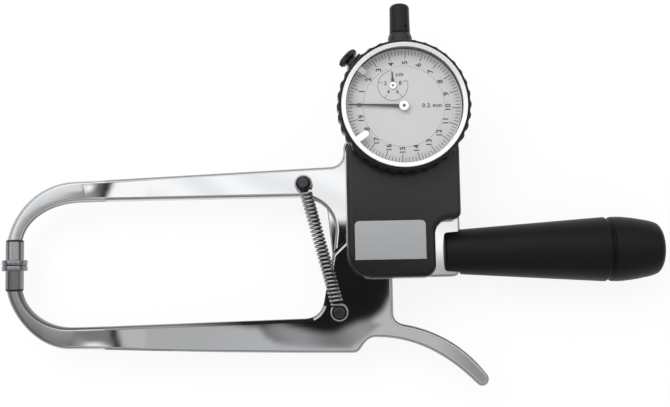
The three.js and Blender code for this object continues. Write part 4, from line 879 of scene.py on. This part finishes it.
def radial(r, degrees):
    """A point on the dial at a radius and an angle."""
    return Vector((r * math.cos(math.radians(degrees)), r * math.sin(math.radians(degrees))))


def printed_lines(lines):
    """Flat ink lines, each from one point to another with its width."""
    shape = bmesh.new()
    for start, end, width in lines:
        across = (end - start).orthogonal().normalized() * width / 2
        corners = [start - across, start + across, end + across, end - across]
        shape.faces.new([shape.verts.new((*p, INK_HIGH)) for p in corners])
    bmesh.ops.recalc_face_normals(shape, faces=shape.faces)
    return as_mesh(shape, "lines")


def one_print(meshes, name, body):
    """Joins ink meshes into one print on the dial that turns with a body."""
    shape = bmesh.new()
    for mesh in meshes:
        shape.from_mesh(mesh)
    for face in shape.faces:
        if face.normal.z < 0:
            face.normal_flip()
    bmesh.ops.translate(shape, verts=shape.verts, vec=(*DIAL, 0))
    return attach(finish_piece(as_mesh(shape, name), name, dial_ink), body)


# Silvered and lacquered brass is a pale even grey that hardly shines.
dial_lacquer, _ = new_material("satin silver-white dial lacquer", "#BEBDBD", 0.0, 0.5)
# Printing ink dries nearly black and without shine.
dial_ink, _ = new_material("black dial ink", "#1E1E1F", 0.0, 0.6)

DISC_GAP = 0.07
dial_back = DIAL_FACE - DIAL_THICK
disc = turned([(0, dial_back), (DISC_R, dial_back), (DISC_R, DIAL_FACE, 0.05), (0, DIAL_FACE)], 180)
disc = finish_piece(on_dial(disc), "dial_middle", dial_lacquer)
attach(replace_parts(disc, "dial_disc"), "frame")
scale = turned([
    (DISC_R + DISC_GAP, dial_back), (DIAL_R, dial_back), (DIAL_R, DIAL_FACE),
    (DISC_R + DISC_GAP, DIAL_FACE, 0.05), (DISC_R + DISC_GAP, dial_back),
], 180)
scale = finish_piece(on_dial(scale), "turning_scale", dial_lacquer)
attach(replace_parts(scale, "dial_ring"), "bezel")

lines = []
for i in range(LINES):
    turn = ZERO - 360 * i / LINES
    inner, width = (21.9, 0.22) if i % 5 else (20.4, 0.3)  # every fifth is longer and thicker
    lines.append((radial(23.9, turn), radial(inner, turn), width))
numerals = [lettering(str(i), 3.2, radial(18.75, ZERO - 18 * i), 90) for i in range(LINES // 5)]
one_print([printed_lines(lines), *numerals], "scale_print", "bezel")

ARC_R, ARC_TICK_R, ARC_STEPS = 6.4, 4.4, 72
arc_steps = [COUNTER + radial(ARC_R, COUNTER_ZERO + 288 * i / ARC_STEPS) for i in range(ARC_STEPS + 1)]
lines = [(a, b, 0.2) for a, b in zip(arc_steps, arc_steps[1:])]
for i in range(1, 5):
    turn = COUNTER_ZERO + 72 * i
    lines.append((COUNTER + radial(ARC_R, turn), COUNTER + radial(ARC_TICK_R, turn), 0.2))
numerals = [lettering(str(2 * i), 2.3, COUNTER + radial(3.3, 90 + 72 * i)) for i in range(1, 5)]
words = [lettering("cm", 2.6, COUNTER + Vector((2.9, 4.8)), spread=1.1),
         lettering("0.2 mm", 2.45, Vector((11.9, 0.1)), spread=1.15)]
one_print([printed_lines(lines), *numerals, *words], "middle_print", "frame")

# Pointers: thin black hands pressed on the gauge's arbors, each with a small white hub over it
# whose centre shows the dark end of the arbor.
POINTER_BACK, POINTER_THICK = 25.0, 0.3
COUNTER_HAND_BACK = 24.35

# The hands are painted matt, so that they read black from every side.
hand_black, _ = new_material("matt black hand", "#2A2A2B", 0.0, 0.5)
# White enamel gives the hubs a bright spot.
hub_white, _ = new_material("white enamelled hub", "#EDEDED", 0.0, 0.4)
# Cut brass wheels are warm, with a soft shine from their oil.
brass, _ = new_material("cut brass wheels", "#B5974A", 1.0, 0.32)
dress(brass, "centre_arbor", "counter_arbor", "rack_arbor", "movement_plate")


def hand_blade(widths, back, degrees, centre):
    """A flat hand through stations of distance and width, in millimetres."""
    left = [(x, w / 2) for x, w in widths]
    right = [(x, -w / 2) for x, w in reversed(widths)]
    shape = bmesh.new()
    shape.faces.new([shape.verts.new((x, y, back)) for x, y in right + left])
    raise_face(shape, POINTER_THICK)
    mesh = as_mesh(shape, "blade")
    mesh.transform(Matrix.Translation((*centre, 0)) @ Matrix.Rotation(math.radians(degrees), 4, "Z"))
    return mesh


def hub(r, low, high, centre, name, body):
    """A round white hub with a dark spot where the arbor ends in it."""
    button = turned([(0, low), (r, low), (r, high, 0.25), (0, high)], 64)
    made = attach(finish_piece(on_dial(button, centre), name, hub_white), body)
    spot = turned([(0, high - 0.1), (0.3 * r, high - 0.1), (0.3 * r, high + 0.04), (0, high + 0.04)], 32)
    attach(finish_piece(on_dial(spot, centre), name + "_spot", hand_black), body)
    return made


main_hand = hand_blade([(-1.4, 1.3), (2, 1.3), (12, 0.85), (22.9, 0.45), (23.2, 0.2)],
                       POINTER_BACK, ZERO, DIAL)
boss = cylinder(1.6, POINTER_BACK, POINTER_BACK + POINTER_THICK, DIAL, 48)
main_hand = combined(main_hand, [boss], "UNION")
made = finish_piece(main_hand, "tapered_main_hand", hand_black)
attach(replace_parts(made, "main_pointer"), "main_hand")
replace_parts(hub(2.1, 25.45, 26.15, DIAL, "main_hub", "main_hand"), "pointer_cap")

middle = DIAL + COUNTER
small_hand = hand_blade([(-1.2, 0.8), (1.6, 1.0), (2.6, 1.15), (3.4, 0.55), (5.8, 0.5)],
                        COUNTER_HAND_BACK, COUNTER_ZERO, middle)
made = finish_piece(small_hand, "small_turn_hand", hand_black)
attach(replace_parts(made, "counter_hand"), "counter")
hub(1.55, COUNTER_HAND_BACK + 0.1, COUNTER_HAND_BACK + 0.5, middle, "small_hub", "counter")

# Lens and trim: a flat acrylic window in the bezel under a bright rolled ring, which traps two
# small limit markers that slide round under its flange.
GLASS_FRONT = GLASS_BACK + GLASS_THICK
TRIM_R, TRIM_INNER_R = 26.5, 24.55
TRIM_FRONT, TRIM_FLANGE = 29.1, 0.6
MARKER_HALF = 1.3

# Nickel over rolled brass is bright, with slightly blurred reflections.
trim_plate, _ = new_material("bright nickel trim", "#E2E3E4", 1.0, 0.18)
# The markers are white enamel with a soft shine; the high one is coloured grey as a painted reflection.
marker_white, _ = new_material("white enamelled marker", "#EFEFEF", 0.0, 0.4)
marker_painted_reflection, _ = new_material("grey enamelled marker", "#9B9C9D", 0.0, 0.4)

# Polished acrylic is clear, with a weak sharp reflection that grows at low angles. Light that
# leaves the sheet from inside isn't thrown back, or the dial would turn black from the side.
acrylic = bpy.data.materials.new("clear acrylic")
acrylic.use_nodes = True
acrylic.node_tree.nodes.clear()
shine = add_node(acrylic, "ShaderNodeBsdfGlossy", {"Roughness": 0.02})
clear = add_node(acrylic, "ShaderNodeBsdfTransparent", {"Color": colour("#FDFDFD")})
angled = add_node(acrylic, "ShaderNodeFresnel", {"IOR": 1.49})
leaving = add_node(acrylic, "ShaderNodeNewGeometry")
thrown = add_node(acrylic, "ShaderNodeMath", {"operation": "SUBTRACT", "use_clamp": True},
                  {0: angled.outputs[0], 1: leaving.outputs["Backfacing"]})
pane = add_node(acrylic, "ShaderNodeMixShader", {}, {
    0: thrown.outputs[0], 1: clear.outputs[0], 2: shine.outputs[0]})
add_node(acrylic, "ShaderNodeOutputMaterial", {}, {0: pane.outputs[0]})

lens = turned([
    (0, GLASS_BACK), (GLASS_R, GLASS_BACK, 0.1), (GLASS_R, GLASS_FRONT, 0.2), (0, GLASS_FRONT),
], 180)
lens = finish_piece(on_dial(lens), "acrylic_lens", acrylic)
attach(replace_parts(lens, "glass"), "bezel")

rolled = turned([
    (TRIM_INNER_R, TRIM_FRONT - TRIM_FLANGE), (TRIM_R - 0.4, TRIM_FRONT - TRIM_FLANGE),
    (TRIM_R - 0.4, GLASS_FRONT + 0.3), (TRIM_R, GLASS_FRONT + 0.3), (TRIM_R, TRIM_FRONT, 0.3),
    (TRIM_INNER_R, TRIM_FRONT, 0.15), (TRIM_INNER_R, TRIM_FRONT - TRIM_FLANGE),
], 180)
rolled = finish_piece(on_dial(rolled), "rolled_trim_ring", trim_plate, 50)
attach(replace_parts(rolled, "trim_ring"), "bezel")

for side, degrees, tip, paint in (("low", 216, 19.1, marker_white), ("high", 140, 20.6, marker_painted_reflection)):
    parts = [(TRIM_R - 0.7, -MARKER_HALF), (TRIM_R - 0.7, MARKER_HALF), (tip + MARKER_HALF, MARKER_HALF),
             *arc(MARKER_HALF, 90, 270, (tip + MARKER_HALF, 0))]
    tab = curve_plate(parts, GLASS_FRONT + 0.3, GLASS_FRONT + 0.7, 0.12)
    tab.transform(Matrix.Translation(DIAL.to_3d()) @ Matrix.Rotation(math.radians(degrees), 4, "Z"))
    made = finish_piece(tab, side + "_limit_marker", paint)
    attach(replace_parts(made, "marker_" + side), side + "_marker")

# Stage: a white table under a ceiling of large cards, one bright over the dial side and one grey
# over the trigger side. Between them hangs what else the polished arms reflect: the dark camera
# and its stand, and the edges of the lights.
FLOOR_Z = HINGE.z - 0.0146  # just below the handle
CARD_HIGH = 430.0
CARD_Z = HINGE.z + 0.001 * CARD_HIGH
CAMERA_AT = Vector((-15.86, -17.38, 412.70))  # millimetres from the hinge
MIRROR_SCALE = 1 + (CARD_HIGH - ARM_HALF) / (CAMERA_AT.z - ARM_HALF)  # ceiling to its mirror image
SOFTBOX, GREY_CARD, DIM_END, DARK = 1.42, 0.68, 0.36, 0.012  # how bright each of them is
scene = bpy.context.scene
scene.view_settings.view_transform = "Standard"


def stage_plane(name, centre, width, height, material, cells=(1, 1)):
    """A flat card of the stage."""
    shape = bmesh.new()
    bmesh.ops.create_grid(shape, x_segments=cells[0], y_segments=cells[1], size=0.5)
    bmesh.ops.scale(shape, verts=shape.verts, vec=(width, height, 1))
    bmesh.ops.translate(shape, verts=shape.verts, vec=centre)
    made = linked(name, as_mesh(shape, name))
    made.data.materials.append(material)
    return made


def glow(name, grey=None):
    """A card's own light, plain or from its painted tones."""
    material = bpy.data.materials.new(name)
    material.use_nodes = True
    material.node_tree.nodes.remove(material.node_tree.nodes["Principled BSDF"])
    light = add_node(material, "ShaderNodeEmission", {"Strength": 1.0})
    if grey is None:
        tones = add_node(material, "ShaderNodeAttribute", {"attribute_name": "tone"})
        material.node_tree.links.new(tones.outputs["Fac"], light.inputs["Strength"])
    else:
        light.inputs["Color"].default_value = (grey, grey, grey, 1)
    out = material.node_tree.nodes["Material Output"]
    material.node_tree.links.new(light.outputs[0], out.inputs["Surface"])
    return material


def rise(value, low, high):
    """A smooth step from 0 to 1 between two values."""
    part = min(max((value - low) / (high - low), 0.0), 1.0)
    return part * part * (3 - 2 * part)


def inside_by(point, corners):
    """How far a point lies inside an outline, negative outside it."""
    best, within = 1e9, False
    for i, corner in enumerate(corners):
        a, b = Vector(corners[i - 1]), Vector(corner)
        side = b - a
        along = min(max((point - a).dot(side) / side.length_squared, 0.0), 1.0)
        best = min(best, (point - a - along * side).length)
        if (a.y > point.y) != (b.y > point.y):
            if point.x < a.x + (point.y - a.y) * side.x / side.y:
                within = not within
    return best if within else -best


# Outlines of the dark camera stand and of the grey haze along its lower side, and the middle of the
# arms' bends. All lie where the arms show them, in millimetres from the hinge.
STAND = [(-80, -31), (-70, -35.8), (-52, -35.8), (-43, -36), (-36, -38.3), (-28.5, -39), (-18, -39.2),
         (-9.6, -37.6), (-2, -34.8), (3.2, -29.6), (6.5, -24), (7.5, -14), (8, 8), (-6, 11), (-12, 9),
         (-19, 9), (-20, -6), (-27.5, -26)]
HAZE = [(-62, -31), (-56, -34.7), (-51, -37), (-48, -41.2), (-43, -44.2), (-33, -46), (-11, -46.8),
        (-5, -43), (2, -37), (-20, -28)]
BEND = Vector((-130, -7))


def tone(x, y):
    """The tone of the ceiling that a flat arm shows at a place, in millimetres from the hinge."""
    spot = Vector((x, y))
    left = rise(-x, 60, 110)
    change, soft = -8 - 10.5 * left, 5 - 3.5 * left  # where the softbox meets the grey card
    over = rise(y, change - soft, change + soft)
    wave = math.sin(0.21 * x + math.sin(0.17 * y))
    if x < -100:
        # The upper bend: a curl of light, a bright spot and the dark line where the softbox ends.
        if over > 0.5:
            edge = x - (-119.3 + 0.4 * (y - 19))
            curl = rise((spot - BEND).length, 27.5, 32) * rise(-x, 128, 140)
            lit = 0.42 + 0.75 * curl
            blob = max(0.0, 1 - (((x + 127.5 - 0.9 * (y - 25)) / 5.5) ** 2 + ((y - 25.2) / 2.6) ** 2))
            lit = lit + 1.1 * rise(blob, 0, 0.6)
            smoke = rise(x, -125, -121) * (0.55 + 0.45 * rise(y, 21, 25)) * rise(-abs(edge), -9, -1)
            lit = lit * (1 - 0.8 * smoke)
            lit = lit * (1 - 0.9 * rise(-abs(edge), -2.2, -0.6))
            return lit + (SOFTBOX - lit) * rise(edge, 0.6, 3.2)
        # The lower bend: the dim end of the grey card, a bright spot and a dark line.
        edge = x - (-113.6 - 0.25 * (y + 39))
        lit = DIM_END + 0.1 * rise((spot - BEND).length, 26, 31)
        lit = lit * (1 - 0.42 * rise(x - 0.9 * (y + 40), -140, -135))
        blob = max(0.0, 1 - (((x + 123) / 9) ** 2 + ((y + 45.4) / 3.4) ** 2))
        lit = lit + 1.2 * rise(blob, 0, 0.7)
        lit = lit * (1 - 0.85 * rise(-abs(edge), -2.5, -0.8))
        return lit + (GREY_CARD - lit) * rise(edge, 0.8, 3.5)
    lit = GREY_CARD + (SOFTBOX - GREY_CARD) * over
    lit = lit * (1 - 0.12 * rise(-x, 20, 90) * (1 - over))
    # The gauge's trim ring shows a darker top with two dark spots.
    lit = lit * (1 - 0.45 * rise(y, 66, 74))
    for centre, wide in (((-9, 68), 5.5), ((35, 67), 7.5)):
        near = (spot - Vector(centre)).length
        lit = lit * (1 - 0.75 * rise(-near, -wide, -0.4 * wide))
    # The softbox is faintly uneven, and the grey card dims towards the trigger.
    lit = lit * (1 - 0.07 * (1 + math.sin(0.16 * x + 0.3 * y + math.sin(0.09 * x))) * over)
    lit = lit * (1 - 0.4 * rise(x, 24, 44) * (1 - over))
    lit = lit * (1 - (0.5 + 0.12 * wave) * rise(inside_by(spot, HAZE), -0.8, 1))
    return lit + (DARK - lit) * rise(inside_by(spot, STAND) + wave, -1.8, 1.8)


# The table is seen as evenly lit paper, so most of what the camera and mirrors get is its own light.
table_white, table_shader = new_material("white table", "#F4F4F4", 0.0, 0.9)
seen = add_node(table_white, "ShaderNodeLightPath")
either = add_node(table_white, "ShaderNodeMath", {"operation": "MAXIMUM"},
                  {0: seen.outputs["Is Camera Ray"], 1: seen.outputs["Is Glossy Ray"]})
looked_at = add_node(table_white, "ShaderNodeMath", {"operation": "MAXIMUM"},
                     {0: either.outputs[0], 1: seen.outputs["Is Transmission Ray"]})
share = add_node(table_white, "ShaderNodeMath", {"operation": "MULTIPLY", 1: 0.87},
                 {0: looked_at.outputs[0]})
backlight = add_node(table_white, "ShaderNodeEmission", {"Strength": 1.0})
lit_table = add_node(table_white, "ShaderNodeMixShader", {}, {0: share.outputs[0]})
table_white.node_tree.links.new(table_shader.outputs[0], lit_table.inputs[1])
table_white.node_tree.links.new(backlight.outputs[0], lit_table.inputs[2])
table_out = table_white.node_tree.nodes["Material Output"]
table_white.node_tree.links.new(lit_table.outputs[0], table_out.inputs["Surface"])
X0, Y0 = HINGE.x, HINGE.y
stage_plane("table", (0, 0, FLOOR_Z), 6, 6, table_white)
PAINTED = ((-175.0, -85.0), (135.0, 110.0))  # what the ceiling shows of, millimetres from the hinge
low, high = [Vector(CAMERA_AT.xy) + MIRROR_SCALE * (Vector(p) - CAMERA_AT.xy) for p in PAINTED]
middle, wide = (low + high) / 2, high - low
painted = stage_plane("painted card", (X0 + middle.x / 1000, Y0 + middle.y / 1000, CARD_Z - 0.002),
                      wide.x / 1000, wide.y / 1000, glow("painted card"), (200, 130))
tones = painted.data.attributes.new("tone", "FLOAT", "POINT")
for i, vert in enumerate(painted.data.vertices):
    place = (1000 * (vert.co - HINGE)).xy
    shown = CAMERA_AT.xy + (place - CAMERA_AT.xy) / MIRROR_SCALE
    tones.data[i].value = tone(shown.x, shown.y)
cards = [
    painted,
    stage_plane("softbox card", (X0, Y0 + 0.39, CARD_Z), 1.6, 0.8, glow("softbox", SOFTBOX)),
    stage_plane("grey card", (X0, Y0 - 0.41, CARD_Z), 1.6, 0.8, glow("grey card", GREY_CARD)),
    stage_plane("dim end of the grey card", (X0 - 0.565, Y0 - 0.42, CARD_Z - 0.001), 0.47, 0.8,
                glow("dim end", DIM_END)),
]
FLAG_HIGH = 0.2  # black flags hang from the ceiling's four edges
flag_black = glow("flag black", 0.03)
for sideways, ahead in ((0.8, 0), (-0.8, 0), (0, 0.8), (0, -0.8)):
    flag = stage_plane("black flag", (0, 0, 0), 1.6, FLAG_HIGH, flag_black)
    upright = Matrix.Rotation(math.radians(90), 4, "X")
    if sideways:
        upright = Matrix.Rotation(math.radians(90), 4, "Z") @ upright
    flag.data.transform(Matrix.Translation((X0 + sideways, Y0 + ahead, CARD_Z - FLAG_HIGH / 2)) @ upright)
    cards.append(flag)
for card in cards:
    card.visible_camera = False
    card.visible_diffuse = False
    card.visible_shadow = False

world = bpy.data.worlds.new("studio")
scene.world = world
world.use_nodes = True
backdrop = world.node_tree.nodes["Background"]
backdrop.inputs["Color"].default_value = (1, 1, 1, 1)
backdrop.inputs["Strength"].default_value = 0.8

lamp = bpy.data.lights.new("softbox lamp", "AREA")
lamp.shape = "RECTANGLE"
lamp.size, lamp.size_y = 0.9, 0.6
lamp.energy = 6
lamp_holder = linked("softbox lamp", lamp)
lamp_holder.location = HINGE + Vector((-0.36, 0.49, 0.8))
aim = HINGE + Vector((-0.02, 0.01, 0)) - lamp_holder.location
lamp_holder.rotation_euler = aim.to_track_quat("-Z", "Y").to_euler()

# Camera: a 50 mm lens looking almost straight down, tipped a little towards the trigger side and
# rolled by about a degree, as in the photograph.
TILT = math.radians(-1.1)  # the picture's edge, from the length of the caliper
camera_data = bpy.data.cameras.new("camera")
camera_data.lens = 50
camera_data.sensor_width = 36
camera = linked("camera", camera_data)
camera.location = HINGE + 0.001 * CAMERA_AT
aim_point = HINGE + 0.001 * Vector((-16.53, 16.79, 0))
back = (camera.location - aim_point).normalized()
across = Vector((math.cos(TILT), math.sin(TILT), 0))
across = (across - across.dot(back) * back).normalized()
camera.rotation_euler = Matrix((across, back.cross(across), back)).transposed().to_euler()
scene.camera = camera
